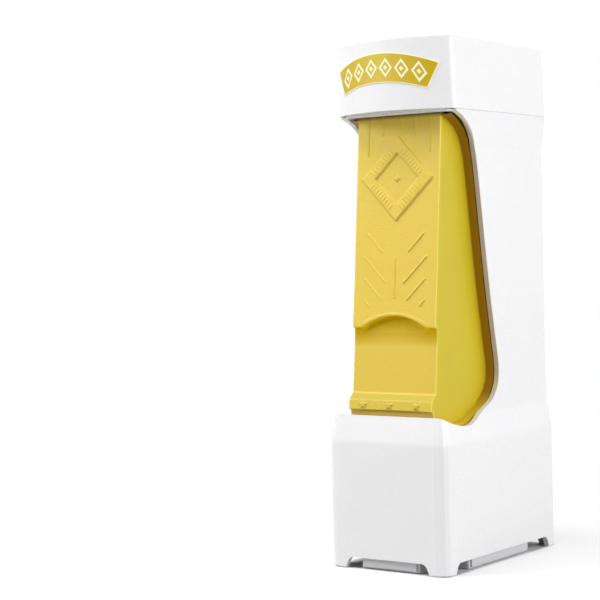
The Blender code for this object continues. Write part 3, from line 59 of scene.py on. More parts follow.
def linear(hexText):
    # sRGB hex to linear RGBA
    channels = np.array([int(hexText[i:i + 2], 16) for i in (1, 3, 5)]) / 255.0
    low = channels / 12.92
    high = ((channels + 0.055) / 1.055) ** 2.4
    return tuple(float(c) for c in np.where(channels <= 0.04045, low, high)) + (1.0,)


def addNode(tree, kind, sockets=None, **settings):
    # One node: its settings by name, and its sockets, by name or place, set to a value or linked
    made = tree.nodes.new(kind)
    for name, value in settings.items():
        setattr(made, name, value)
    for name, value in (sockets or {}).items():
        if isinstance(value, bpy.types.NodeSocket):
            tree.links.new(value, made.inputs[name])
        else:
            made.inputs[name].default_value = value
    return made


def newMaterial(name):
    material = bpy.data.materials.new(name)
    material.use_nodes = True
    material.node_tree.nodes.clear()
    return material, material.node_tree


def smoothStep(low, high, value):
    # 0 below low, 1 above high, and a cubic with level ends between them
    share = np.clip((value - low) / (high - low), 0.0, 1.0)
    return share * share * (3.0 - 2.0 * share)


def gridPiece(name, points, material, uv=None):
    # points is rows x columns x 3 in mm, rows from the top down and columns from the left as seen from
    # outside; each cell between four neighbours is one face
    rows, columns = points.shape[:2]
    first = np.arange(rows - 1)[:, None] * columns + np.arange(columns - 1)[None, :]
    quads = np.stack([first, first + columns, first + columns + 1, first + 1], axis=-1).reshape(-1, 4)
    mesh = bpy.data.meshes.new(name)
    mesh.vertices.add(rows * columns)
    mesh.vertices.foreach_set("co", (points.reshape(-1) * mm).astype(np.float32))
    mesh.loops.add(quads.size)
    mesh.loops.foreach_set("vertex_index", quads.reshape(-1).astype(np.int32))
    mesh.polygons.add(len(quads))
    mesh.polygons.foreach_set("loop_start", np.arange(0, quads.size, 4, dtype=np.int32))
    mesh.update(calc_edges=True)
    mesh.polygons.foreach_set("use_smooth", np.ones(len(quads), dtype=bool))
    if uv is not None:
        layer = mesh.uv_layers.new(name="mm")
        layer.data.foreach_set("uv", uv.reshape(-1, 2)[quads.reshape(-1)].reshape(-1).astype(np.float32))
    mesh.materials.append(material)
    piece = bpy.data.objects.new(name, mesh)
    bpy.context.scene.collection.objects.link(piece)
    return piece


def pointAttribute(piece, name, values):
    layer = piece.data.attributes.new(name, "FLOAT", "POINT")
    layer.data.foreach_set("value", values.reshape(-1).astype(np.float32))


def closeSeams(piece, reach=0.001):
    # Joins the points that lie in one place, which closes a tube along its seam and at its ends
    shape = bmesh.new()
    shape.from_mesh(piece.data)
    bmesh.ops.remove_doubles(shape, verts=shape.verts, dist=reach * mm)
    shape.to_mesh(piece.data)
    shape.free()


# Materials of the nodes, each from the real material and how it was made

mouldedFace = {  # shared by every moulded plastic: how slowly its colour drifts, how its gloss varies, and how far a face turns forward to take the painted edge shade
    "driftScale": 40.0, "roughSpread": 0.03, "plainGloss": 0.5, "paintedEdgeShadeFacing": (-0.25, -0.6),
}
plasticFinishes = {
    "housing_white": {  # injection-moulded ABS in a polished mould: bright soft reflections, faint orange peel; the front-facing edges of the opening carry painted grey shade
        # orange peel; the opening's front edges are trimmed and left unpolished, so they show greyer
        "name": "polishedMouldedWhiteAbs", "colour": "#F1F1F2", "shade": "#EDEDEF", "roughness": 0.27,
        "ior": 1.53, "peelSize": 2.4, "peelDepth": 0.004, "grainSize": 0.3, "grainDepth": 0.0008,
        "paintedEdgeShade": "#C4BABF", "paintedEdgeShadeFoot": (72.0, 88.0), "paintedEdgeShadeTop": 207.3, "paintedEdgeShadeReach": 29.9,
    },
    "lever_yellow": {  # moulded ABS, satin mould face: even butter yellow with a wide, weak highlight; the flange round the cheeks, deep in the housing, carries painted brown shade that fades out at its lower end
        # the flange round the cheeks lies deep in the housing and shows brown, but for its lower end
        "name": "satinMouldedYellowAbs", "colour": "#D2BC22", "shade": "#CBB41E", "roughness": 0.42,
        "ior": 1.53, "gloss": 0.3, "peelSize": 1.6, "peelDepth": 0.004,
        "grainSize": 0.35, "grainDepth": 0.004,
        "flangePaintedShade": "#9A700C", "flangeFoot": "#D6BE2D", "flangeFrom": (22.9, 23.5), "flangeRise": (71.0, 80.0),
    },
    "chamber_natural": {  # natural polypropylene: milky, softly glossy
        "name": "naturalMouldedPolypropylene", "colour": "#E6E8E0", "shade": "#DEE0D8", "roughness": 0.34,
        "ior": 1.49, "peelSize": 3.0, "peelDepth": 0.006, "grainSize": 0.4, "grainDepth": 0.002,
    },
    "grey_plastic": {  # moulded polystyrene, fine matt mould face
        "name": "mattMouldedGreyPolystyrene", "colour": "#D4D4D6", "shade": "#CACACD", "roughness": 0.48,
        "ior": 1.59, "peelSize": 2.0, "peelDepth": 0.004, "grainSize": 0.3, "grainDepth": 0.003,
    },
}


def shareAlong(tree, value, ends):
    # Share from 0 to 1 as a place goes from the first end to the second, both in mm
    low, high = ends
    share = addNode(tree, "ShaderNodeMapRange", {"Value": value, "From Min": low * mm, "From Max": high * mm})
    return share.outputs["Result"]


def plasticMaterial(finish):
    # Slow unevenness of a moulded face plus its fine grain; the colour drifts a little across the piece;
    # painted shade is laid on the lever's flange and on the housing opening's front-facing edges
    material, tree = newMaterial(finish["name"])
    place = addNode(tree, "ShaderNodeTexCoord").outputs["Object"]
    drift = addNode(tree, "ShaderNodeTexNoise", {"Vector": place, "Scale": mouldedFace["driftScale"],
                                                 "Detail": 2.0})
    mix = addNode(tree, "ShaderNodeMix", {"Factor": drift.outputs["Fac"], "A": linear(finish["colour"]),
                                          "B": linear(finish["shade"])}, data_type="RGBA")
    peel = addNode(tree, "ShaderNodeTexNoise",
                   {"Vector": place, "Scale": 1.0 / (finish["peelSize"] * mm), "Detail": 1.0})
    grain = addNode(tree, "ShaderNodeTexNoise",
                    {"Vector": place, "Scale": 1.0 / (finish["grainSize"] * mm), "Detail": 2.0})
    peelBump = addNode(tree, "ShaderNodeBump", {"Strength": 1.0, "Distance": finish["peelDepth"] * mm,
                                                "Height": peel.outputs["Fac"]})
    grainBump = addNode(tree, "ShaderNodeBump", {"Strength": 1.0, "Distance": finish["grainDepth"] * mm,
                                                 "Height": grain.outputs["Fac"],
                                                 "Normal": peelBump.outputs["Normal"]})
    rough = addNode(tree, "ShaderNodeMapRange", {"Value": grain.outputs["Fac"],
                                                 "To Min": finish["roughness"] - mouldedFace["roughSpread"],
                                                 "To Max": finish["roughness"] + mouldedFace["roughSpread"]})
    colour = mix.outputs["Result"]
    across, _, height = addNode(tree, "ShaderNodeSeparateXYZ", {0: place}).outputs
    fromMiddle = addNode(tree, "ShaderNodeMath", {0: across}, operation="ABSOLUTE").outputs[0]
    # Painted shade: brown on the flange beyond the cheeks, fading towards its lower end where light reaches
    if "flangePaintedShade" in finish:
        risen = shareAlong(tree, height, finish["flangeRise"])
        flangePaintedShade = addNode(tree, "ShaderNodeMix", {"Factor": risen, "A": linear(finish["flangeFoot"]),
                                                 "B": linear(finish["flangePaintedShade"])}, data_type="RGBA")
        deep = shareAlong(tree, fromMiddle, finish["flangeFrom"])
        withPaintedFlangeShade = addNode(tree, "ShaderNodeMix", {"Factor": deep, "A": colour, "B": flangePaintedShade.outputs["Result"]},
                          data_type="RGBA")
        colour = withPaintedFlangeShade.outputs["Result"]
    # Painted shade: faces turned forward, between two heights and inside the outer rounding, are greyed
    if "paintedEdgeShade" in finish:
        facing = addNode(tree, "ShaderNodeSeparateXYZ",
                         {0: addNode(tree, "ShaderNodeTexCoord").outputs["Normal"]}).outputs["Y"]
        least, full = mouldedFace["paintedEdgeShadeFacing"]
        forward = addNode(tree, "ShaderNodeMapRange", {"Value": facing, "From Min": least, "From Max": full})
        above = shareAlong(tree, height, finish["paintedEdgeShadeFoot"])
        below = addNode(tree, "ShaderNodeMath", {0: height, 1: finish["paintedEdgeShadeTop"] * mm},
                        operation="LESS_THAN")
        level = addNode(tree, "ShaderNodeMath", {0: above, 1: below.outputs[0]}, operation="MULTIPLY")
        inside = addNode(tree, "ShaderNodeMath", {0: fromMiddle, 1: finish["paintedEdgeShadeReach"] * mm},
                         operation="LESS_THAN")
        edge = addNode(tree, "ShaderNodeMath", {0: forward.outputs["Result"], 1: level.outputs[0]},
                       operation="MULTIPLY")
        paintedEdgeShade = addNode(tree, "ShaderNodeMath", {0: edge.outputs[0], 1: inside.outputs[0]},
                          operation="MULTIPLY")
        withPaintedEdgeShade = addNode(tree, "ShaderNodeMix", {"Factor": paintedEdgeShade.outputs[0], "A": colour,
                                                "B": linear(finish["paintedEdgeShade"])}, data_type="RGBA")
        colour = withPaintedEdgeShade.outputs["Result"]
    shader = addNode(tree, "ShaderNodeBsdfPrincipled",
                     {"Base Color": colour, "Roughness": rough.outputs["Result"], "IOR": finish["ior"],
                      "Specular IOR Level": finish.get("gloss", mouldedFace["plainGloss"]),
                      "Normal": grainBump.outputs["Normal"]})
    addNode(tree, "ShaderNodeOutputMaterial", {"Surface": shader.outputs["BSDF"]})
    return material


metalFinishes = {
    "steel": {  # zinc-plated steel, tumbled: pale grey, small soft scratches in every direction
        "name": "zincPlatedTumbledSteel", "colour": "#C9CACC", "shade": "#B4B6BA", "roughness": 0.28,
        "scratchSize": 0.5, "scratchDepth": 0.003, "roughSpread": (0.06, 0.08),
    },
    "spring_steel": {  # cold-drawn spring wire and strip: darker, with a duller skin
        "name": "coldDrawnSpringSteel", "colour": "#8F9197", "shade": "#7C7E84", "roughness": 0.34,
        "scratchSize": 0.3, "scratchDepth": 0.004, "roughSpread": (0.06, 0.08),
    },
}


def metalMaterial(finish):
    # Fine scratches vary the colour, the roughness and the height together
    material, tree = newMaterial(finish["name"])
    place = addNode(tree, "ShaderNodeTexCoord").outputs["Object"]
    scratch = addNode(tree, "ShaderNodeTexNoise",
                      {"Vector": place, "Scale": 1.0 / (finish["scratchSize"] * mm), "Detail": 4.0})
    mix = addNode(tree, "ShaderNodeMix", {"Factor": scratch.outputs["Fac"], "A": linear(finish["colour"]),
                                          "B": linear(finish["shade"])}, data_type="RGBA")
    smoother, rougher = finish["roughSpread"]
    rough = addNode(tree, "ShaderNodeMapRange", {"Value": scratch.outputs["Fac"],
                                                 "To Min": finish["roughness"] - smoother,
                                                 "To Max": finish["roughness"] + rougher})
    bump = addNode(tree, "ShaderNodeBump", {"Strength": 1.0, "Distance": finish["scratchDepth"] * mm,
                                            "Height": scratch.outputs["Fac"]})
    shader = addNode(tree, "ShaderNodeBsdfPrincipled",
                     {"Base Color": mix.outputs["Result"], "Roughness": rough.outputs["Result"],
                      "Metallic": 1.0, "Normal": bump.outputs["Normal"]})
    addNode(tree, "ShaderNodeOutputMaterial", {"Surface": shader.outputs["BSDF"]})
    return material


slotMaterials = {slot: plasticMaterial(finish) for slot, finish in plasticFinishes.items()}
slotMaterials.update({slot: metalMaterial(finish) for slot, finish in metalFinishes.items()})
dressed = [entry for entry in frame["record"]["subparts"] if entry["material_slot"] in slotMaterials]
for entry in dressed:
    shown = nodes[entry["node"]].data
    shown.materials.clear()
    shown.materials.append(slotMaterials[entry["material_slot"]])
print("materials set on", len(dressed), "nodes")

# The lever's front: one relief sheet just in front of the solid's face

sparkGrain = {  # ABS moulded against a spark-eroded face: a fine even grain that scatters light and pales it
    # the step colour under the bar is painted shade
    "colour": "#E6C94C", "shade": "#DCBF42", "side": "#D2BC22", "line": "#F0DE6A", "stepPaintedShade": "#E2BE50",
    "hollow": "#BC9600", "nookPaintedLight": "#F6D616", "bevelPaintedShade": "#BEAA20", "seam": "#6C500A",
    "roughness": 0.5, "sideRoughness": 0.42, "gloss": 0.45, "sideGloss": 0.3, "hollowGloss": 0.05,
    "ior": 1.53, "grainSize": 0.6, "grainDepth": 0.13,  # real grain is about 0.1 mm, drawn coarser to show
}
leverBody = {  # heights, and depths behind the leaning front, of the solid
    "halfWidth": 22.8, "frontTop": -33.0, "seam": 210.9, "lean": math.radians(5.1), "ledge": 112.4,
    "profile": ((71.0, -0.91), (74.0, -1.18), (78.6, -1.09), (81.6, 1.64), (111.2, 2.0), (112.4, 0.0)),
    "archHalf": 17.5, "archRise": 5.6, "scoop": ((106.5, 1.6), (118.0, 3.2)), "lipStep": 1.4,
}
frontSheet = {  # how far the sheet stands in front of the solid at each height, its grid and its edges, in mm
    "proud": ((71.0, 0.3), (74.0, 0.8), (78.6, 0.7), (81.6, 0.4), (104.0, 0.5), (108.5, 0.6),
              (110.5, 0.9), (112.0, 0.5), (120.0, 0.35), (135.0, 0.2)), "archProud": 0.35,
    "pitch": 0.3, "quickPitch": 0.45, "edgeRadius": 0.65, "wrap": 1.6, "tuck": 0.03,
    "top": 225.8, "bottom": 71.05, "fold": 1.0, "archDrop": 0.6, "archSoft": 0.7, "archSide": 2.4,
    "soften": 0.45, "lipBand": 2.3, "lipRaise": 0.16, "lipRound": 0.2, "lipRoundWidth": 0.35,
    # hollowReach, hollowLeast and hollowPower set the painted shade under the ledge, nookReach the painted
    # light in its nook, bevelFrom, bevelTo and barShare the painted shade above and on the bar, seamFrom and
    # seamTo the painted shadow under the cap
    "reachUp": 11.0, "reachDown": 16.0, "hollowReach": 10.0, "nookReach": 1.8, "hollowLeast": 0.1,
    "bevelFrom": (78.2, 79.0), "bevelTo": (80.9, 81.6), "barShare": 0.3, "seamFrom": 207.8, "seamTo": 210.4,
    "turnSteps": 6, "wallSteps": 9, "underSteps": 5, "softenSteps": 5, "foldStart": 0.3, "hollowPower": 2.0,
    "nearLip": (0.45, 0.3, 0.18, 0.08, 0.0), "nearLipRoom": 0.6, "lipBandSoft": 0.4, "lipBandFade": 1.5,
}
ridges = {  # x0, z0, x1, z1 of each raised line; the rays stand on both sides of the middle
    "half": 0.5, "stripeRaise": 0.55, "middleRaise": 0.5, "rightRaise": 0.6, "leftRaise": 0.25,
    "stripes": ((-16.5, 224.0, -16.5, 192.0), (-8.6, 224.0, -8.6, 201.2), (0.8, 224.0, 0.8, 203.6),
                (9.4, 224.0, 9.4, 201.2), (17.3, 224.0, 17.3, 192.5)),
    "middleRay": ((0.0, 143.9, 0.0, 125.5),),
    "sideRays": ((7.3, 147.0, 15.2, 155.1), (5.0, 132.6, 17.1, 144.5), (7.1, 124.8, 16.6, 134.3),
                 (14.3, 122.0, 16.4, 124.5)),
}
badge = {  # a lozenge band with short bars and a middle stud; half widths and heights in mm
    "x": 0.0, "z": 180.7, "outer": (19.5, 19.6), "inner": (11.8, 11.9), "raise": 0.85, "wall": 0.25,
    "bars": 9, "barSpan": 16.0, "barHalf": (0.4, 1.3), "barRaise": 0.2, "soft": 0.2,
    "stud": (1.7, 1.7), "studRaise": 0.6,
}
stars = {"x": (-14.8, -0.4, 14.4), "z": 76.3, "radius": 2.0, "notch": 0.45, "raise": 0.75, "soft": 0.2}


def leanFront(z):
    return leverBody["frontTop"] - (leverBody["seam"] - z) * math.tan(leverBody["lean"])


def segmentDistance(x, z, x0, z0, x1, z1):
    # Shortest distance from each point to the segment
    alongX, alongZ = x1 - x0, z1 - z0
    share = ((x - x0) * alongX + (z - z0) * alongZ) / (alongX ** 2 + alongZ ** 2)
    share = np.clip(share, 0.0, 1.0)
    return np.hypot(x - x0 - share * alongX, z - z0 - share * alongZ)


def lozengeInside(x, z, half):
    # Distance inside the lozenge |x|/a + |z|/b = 1, square to its sides
    a, b = half
    return (1.0 - np.abs(x) / a - np.abs(z) / b) * a * b / math.hypot(a, b)


def starInside(x, z):
    # Distance inside a five-pointed star: the turn is folded to a tenth, with one edge from tip to notch
    tenth = math.pi / 5.0
    fold = np.abs((np.arctan2(x, z) + tenth) % (2.0 * tenth) - tenth)
    reach = np.hypot(x, z)
    tip = stars["radius"]
    edgeX = tip * stars["notch"] * math.sin(tenth)
    edgeZ = tip * stars["notch"] * math.cos(tenth) - tip
    return (edgeZ * reach * np.sin(fold) - edgeX * (reach * np.cos(fold) - tip)) / math.hypot(edgeX, edgeZ)


def faceRelief(x, z):
    # Height of the moulded ornament: each raised line is a round ridge of its distance; the badge is the
    # band between two lozenges, with short bars across it and a stud in its middle
    height = np.zeros(np.broadcast(x, z).shape)
    mirrored = [(-x0, z0, -x1, z1) for x0, z0, x1, z1 in ridges["sideRays"]]
    raised = ((ridges["stripes"], ridges["stripeRaise"]), (ridges["middleRay"], ridges["middleRaise"]),
              (ridges["sideRays"], ridges["rightRaise"]), (mirrored, ridges["leftRaise"]))
    for lines, tall in raised:
        for line in lines:
            near = segmentDistance(x, z, *line)
            height = np.maximum(height, tall * (1.0 - smoothStep(0.0, ridges["half"], near)))
    bx, bz = x - badge["x"], z - badge["z"]
    wall, soft = badge["wall"], badge["soft"]
    band = (smoothStep(-wall, wall, lozengeInside(bx, bz, badge["outer"]))
            * smoothStep(-wall, wall, -lozengeInside(bx, bz, badge["inner"])))
    a, b = [(outer + inner) / 2.0 for outer, inner in zip(badge["outer"], badge["inner"])]
    side = math.hypot(a, b)
    along = ((np.abs(bz) - b / 2.0) * b - (np.abs(bx) - a / 2.0) * a) / side
    cell = badge["barSpan"] / badge["bars"]
    fromBar = np.abs((along / cell + 0.5) % 1.0 - 0.5) * cell
    halfWide, halfLong = badge["barHalf"]
    bars = ((1.0 - smoothStep(halfWide - soft, halfWide + soft, fromBar))
            * (1.0 - smoothStep(halfLong - soft, halfLong + soft, np.abs(lozengeInside(bx, bz, (a, b)))))
            * (np.abs(along) < badge["barSpan"] / 2.0))
    stud = smoothStep(-soft, 2.0 * soft, lozengeInside(bx, bz, badge["stud"]))
    return np.maximum(height, badge["raise"] * band + badge["barRaise"] * bars + badge["studRaise"] * stud)


def leverFrontSheet():
    # Rows run down the face, columns across it from cheek to cheek. A point's depth is the side view's line,
    # deeper inside the arch, less the ornament. Near the ledge the rows bend with the arch. At each side the
    # columns turn back by a quarter round and lie on the cheek; the last rows turn back at top and bottom.
    body, sheet = leverBody, frontSheet
    pitch = sheet["pitch"]
    half, radius, ledge = body["halfWidth"], sheet["edgeRadius"], body["ledge"]

    def run(high, low, step=pitch):
        return np.linspace(high, low, int(abs(high - low) / step) + 2)

    # Across: place and setback of each column
    flat = run(-half + radius, half - radius)
    turn = np.linspace(0.0, math.pi / 2.0, sheet["turnSteps"] + 1)[1:]
    wrap = run(0.0, sheet["wrap"], pitch * 2.0)[1:]
    sideX = np.concatenate([half - radius + (radius + sheet["tuck"]) * np.sin(turn),
                            np.full(len(wrap), half + sheet["tuck"])])
    sideBack = np.concatenate([radius * (1.0 - np.cos(turn)), radius + wrap])
    x = np.concatenate([-sideX[::-1], flat, sideX])[None, :]
    back = np.concatenate([sideBack[::-1], np.zeros(len(flat)), sideBack])[None, :]

    # Down: height, share of the way down the ledge's wall, share of the step under the bar, fold at the ends
    barFoot = body["profile"][1][0]
    wall = np.linspace(0.0, 1.0, sheet["wallSteps"] + 1)[1:]
    step = np.linspace(0.0, 1.0, sheet["underSteps"] + 1)[1:]
    upper = np.concatenate([run(sheet["top"], ledge + sheet["nearLipRoom"]),
                            ledge + np.array(sheet["nearLip"])])
    lower = run(ledge - pitch / 2.0, barFoot)
    lip = run(barFoot - pitch / 2.0, sheet["bottom"])
    parts = ((np.full(2, sheet["top"]), 0.0, 0.0, np.array((1.0, sheet["foldStart"]))),
             (upper, 0.0, 0.0, 0.0), (np.full(len(wall), ledge), wall, 0.0, 0.0),
             (lower, 1.0, 0.0, 0.0), (np.full(len(step), barFoot), 1.0, step, 0.0), (lip, 1.0, 1.0, 0.0),
             (np.full(2, sheet["bottom"]), 1.0, 1.0, np.array((sheet["foldStart"], 1.0))))
    rows = [np.concatenate([np.broadcast_to(part[k], part[0].shape) for part in parts])[:, None]
            for k in range(4)]
    height, wallShare, stepShare, fold = rows

    # The ledge's edge: the arch eased into the level ends by a smooth maximum, a little under the solid's
    arch = body["archRise"] * (1.0 - (x / body["archHalf"]) ** 2)
    rise = (arch + np.sqrt(arch ** 2 + sheet["archSoft"] ** 2)) / 2.0 - sheet["archDrop"]
    follow = np.where(wallShare > 0.0, 1.0 - (ledge - height) / sheet["reachDown"],
                      1.0 - (height - ledge) / sheet["reachUp"])
    z = height + np.clip(follow, 0.0, 1.0) * rise

    heights, depths = zip(*body["profile"])
    around = np.linspace(-1.0, 1.0, sheet["softenSteps"]) * sheet["soften"]
    profile = sum(np.interp(z + shift, heights, depths) for shift in around) / len(around)
    (lowScoop, lowDepth), (highScoop, highDepth) = body["scoop"]
    scoop = lowDepth + (highDepth - lowDepth) * (z - lowScoop) / (highScoop - lowScoop)
    inArch = 1.0 - smoothStep(body["archHalf"] - sheet["archSide"], body["archHalf"], np.abs(x))
    recess = np.maximum(profile, profile + (scoop - profile) * inArch)
    proud = np.interp(z, *zip(*sheet["proud"]))
    proud = proud + (np.minimum(proud, sheet["archProud"]) - proud) * inArch * (wallShare > 0.0)

    onFace = wallShare == 0.0
    above = np.where(onFace, height - ledge, 0.0)
    lipRound = sheet["lipRound"] * np.exp(-above / sheet["lipRoundWidth"])
    lipBand = (sheet["lipRaise"] * smoothStep(0.0, sheet["lipBandFade"], rise + sheet["archDrop"])
               * (1.0 - smoothStep(sheet["lipBand"] - sheet["lipBandSoft"], sheet["lipBand"], above)))
    lipDepth = lipRound - lipBand
    depth = np.where(onFace, lipDepth, lipDepth * (1.0 - wallShare) + recess * wallShare)
    depth = depth + stepShare * body["lipStep"]

    fade = 1.0 - np.clip(back / radius, 0.0, 1.0) + 0.0 * z
    ornament = np.where(onFace, faceRelief(x, z), 0.0)
    for starX in stars["x"]:
        star = smoothStep(-stars["soft"], stars["soft"], starInside(x - starX, z - stars["z"]))
        ornament = ornament + np.where(stepShare == 0.0, stars["raise"] * star, 0.0)
    y = leanFront(z) + depth - ornament * (fade == 1.0) - proud + back + fold * sheet["fold"]
    points = np.stack([x + 0.0 * z, y, z], axis=-1)

    # Shares of the colours, on the front only: painted highlight on the edge, painted shadow at the seam,
    # painted shade on the bevel and bar, under the ledge and on the step below the bar, and painted light in
    # the ledge's nook
    # Painted shade under the ledge, darkest at its edge and fading downward
    reach = sheet["hollowReach"] + rise
    deep = 1.0 - np.clip((ledge + rise - z) / reach, 0.0, 1.0) ** sheet["hollowPower"]
    barTop, slopeTop = sheet["bevelFrom"][1], sheet["bevelTo"][1]
    deep = np.where((wallShare > 0.0) & (z > slopeTop), np.maximum(deep, sheet["hollowLeast"]), 0.0)
    # Painted light in the nook right under the ledge
    nookPaintedLight = np.exp((z - ledge - rise) / sheet["nookReach"]) * (wallShare > 0.0)
    # Painted shade on the slope above the bar, and weaker on the bar's face
    bevelPaintedShade = smoothStep(*sheet["bevelFrom"], z) * (1.0 - smoothStep(*sheet["bevelTo"], z))
    bevelPaintedShade = np.where(z < barTop, np.maximum(bevelPaintedShade, sheet["barShare"]), bevelPaintedShade) * (stepShare == 0.0)
    # Painted shadow on the lever front just below the cap
    seam = smoothStep(sheet["seamFrom"], sheet["seamTo"], z)
    # The edge line is a painted highlight along the rounded edge
    shares = {"line": 4.0 * fade * (1.0 - fade), "seam": seam * fade, "bevelPaintedShade": bevelPaintedShade * fade,
              "hollow": deep * fade, "nookPaintedLight": nookPaintedLight * fade, "stepPaintedShade": stepShare * fade}
    return points, fade, shares


def sparkGrainMaterial(finish, names):
    # The attribute grain is 1 on the front and 0 on the cheeks, where the mould is smoother. Each colour
    # share is laid over the one before: a painted highlight along the edge, painted shadow at the seam under
    # the cap, painted shade on the slope above the bar, painted shade under the ledge, painted light in its
    # nook and painted shade on the step under the bar
    material, tree = newMaterial("sparkErodedYellowAbs")
    place = addNode(tree, "ShaderNodeTexCoord").outputs["Object"]
    cover = addNode(tree, "ShaderNodeAttribute", attribute_name="grain").outputs["Fac"]
    share = {name: addNode(tree, "ShaderNodeAttribute", attribute_name=name).outputs["Fac"] for name in names}
    grain = addNode(tree, "ShaderNodeTexNoise",
                    {"Vector": place, "Scale": 1.0 / (finish["grainSize"] * mm), "Detail": 3.0})
    front = addNode(tree, "ShaderNodeMix", {"Factor": grain.outputs["Fac"], "A": linear(finish["colour"]),
                                            "B": linear(finish["shade"])}, data_type="RGBA")
    layer = addNode(tree, "ShaderNodeMix", {"Factor": cover, "A": linear(finish["side"]),
                                            "B": front.outputs["Result"]}, data_type="RGBA")
    for name in names:
        layer = addNode(tree, "ShaderNodeMix", {"Factor": share[name], "A": layer.outputs["Result"],
                                                "B": linear(finish[name])}, data_type="RGBA")
    colour = layer.outputs["Result"]
    rough = addNode(tree, "ShaderNodeMapRange", {"Value": cover, "To Min": finish["sideRoughness"],
                                                 "To Max": finish["roughness"]})
    plainGloss = addNode(tree, "ShaderNodeMapRange", {"Value": cover, "To Min": finish["sideGloss"],
                                                      "To Max": finish["gloss"]})
    # The gloss is lowered along with the painted shade under the ledge
    gloss = addNode(tree, "ShaderNodeMix", {"Factor": share["hollow"], "A": plainGloss.outputs["Result"],
                                            "B": finish["hollowGloss"]}, data_type="FLOAT")
    bump = addNode(tree, "ShaderNodeBump", {"Strength": cover, "Distance": finish["grainDepth"] * mm,
                                            "Height": grain.outputs["Fac"]})
    shader = addNode(tree, "ShaderNodeBsdfPrincipled",
                     {"Base Color": colour, "Roughness": rough.outputs["Result"], "IOR": finish["ior"],
                      "Specular IOR Level": gloss.outputs["Result"], "Normal": bump.outputs["Normal"]})
    addNode(tree, "ShaderNodeOutputMaterial", {"Surface": shader.outputs["BSDF"]})
    return material


frontPoints, frontGrain, frontShares = leverFrontSheet()
leverFront = gridPiece("leverFront", frontPoints, sparkGrainMaterial(sparkGrain, list(frontShares)))
pointAttribute(leverFront, "grain", frontGrain)
for name, values in frontShares.items():
    pointAttribute(leverFront, name, values)
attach(leverFront, "press_lever")
print("lever front:", len(leverFront.data.polygons), "faces")

# The printed label on the cap's bow

label = {  # places on the bow in mm; its film overlaps the pocket's edge a little
    "shift": -1.6, "outerHalf": 28.7, "innerHalf": 23.6, "outerEnd": 231.9, "innerEnd": 220.2,
    "outerRise": 6.1, "innerRise": 3.9, "bowRadius": 50.0, "bowApex": 47.4, "proud": 0.15,
    "rim": (0.04, 0.55), "columns": 193, "rows": 41,
}
labelPrint = {  # gold printed film with a cream border and a row of line lozenges round small solid ones
    # ends and middle paint the gold deeper at both ends and paler in the middle, a painted reflection across
    # the bow
    "ends": "#C8A90E", "middle": "#D8BE48", "cream": "#FFF6CF", "border": 0.55, "count": 6, "pitch": 8.0,
    "lozengeHalf": (2.9, 3.75), "line": 0.9, "smallHalf": 1.15, "roughness": 0.35, "ior": 1.5, "gloss": 0.35,
    "inkGrain": 0.4, "inkDepth": 0.002,
}


def labelSheet():
    # A band between two arcs laid on the bow: across runs from -1 to 1, up from 0 to 1. Two more rings turn
    # the rim back into its pocket. The UV is in mm: along the band from its middle, and up from the middle.
    across = np.pad(np.broadcast_to(np.linspace(-1.0, 1.0, label["columns"])[None, :],
                                    (label["rows"], label["columns"])), 2, mode="edge")
    up = np.pad(np.broadcast_to(np.linspace(1.0, 0.0, label["rows"])[:, None],
                                (label["rows"], label["columns"])), 2, mode="edge")
    half = label["innerHalf"] + (label["outerHalf"] - label["innerHalf"]) * up
    x = label["shift"] + across * half
    low = label["innerEnd"] + label["innerRise"] * (1.0 - across ** 2)
    tall = label["outerEnd"] + label["outerRise"] * (1.0 - across ** 2) - low
    ring = np.pad(np.full((label["rows"] + 2, label["columns"] + 2), label["rim"][0]), 1,
                  constant_values=label["rim"][1])
    ring[2:-2, 2:-2] = 0.0
    bow = label["bowRadius"] - label["bowApex"] - np.sqrt(label["bowRadius"] ** 2 - x * x)
    points = np.stack([x, bow - label["proud"] + ring, low + up * tall], axis=-1)
    slant = math.cos(math.atan2(label["outerHalf"] - label["innerHalf"],
                                label["outerEnd"] - label["innerEnd"]))
    edge = np.minimum(np.minimum(up, 1.0 - up) * tall, (1.0 - np.abs(across)) * half * slant)
    return points, np.stack([across * half, (up - 0.5) * tall], axis=-1), edge


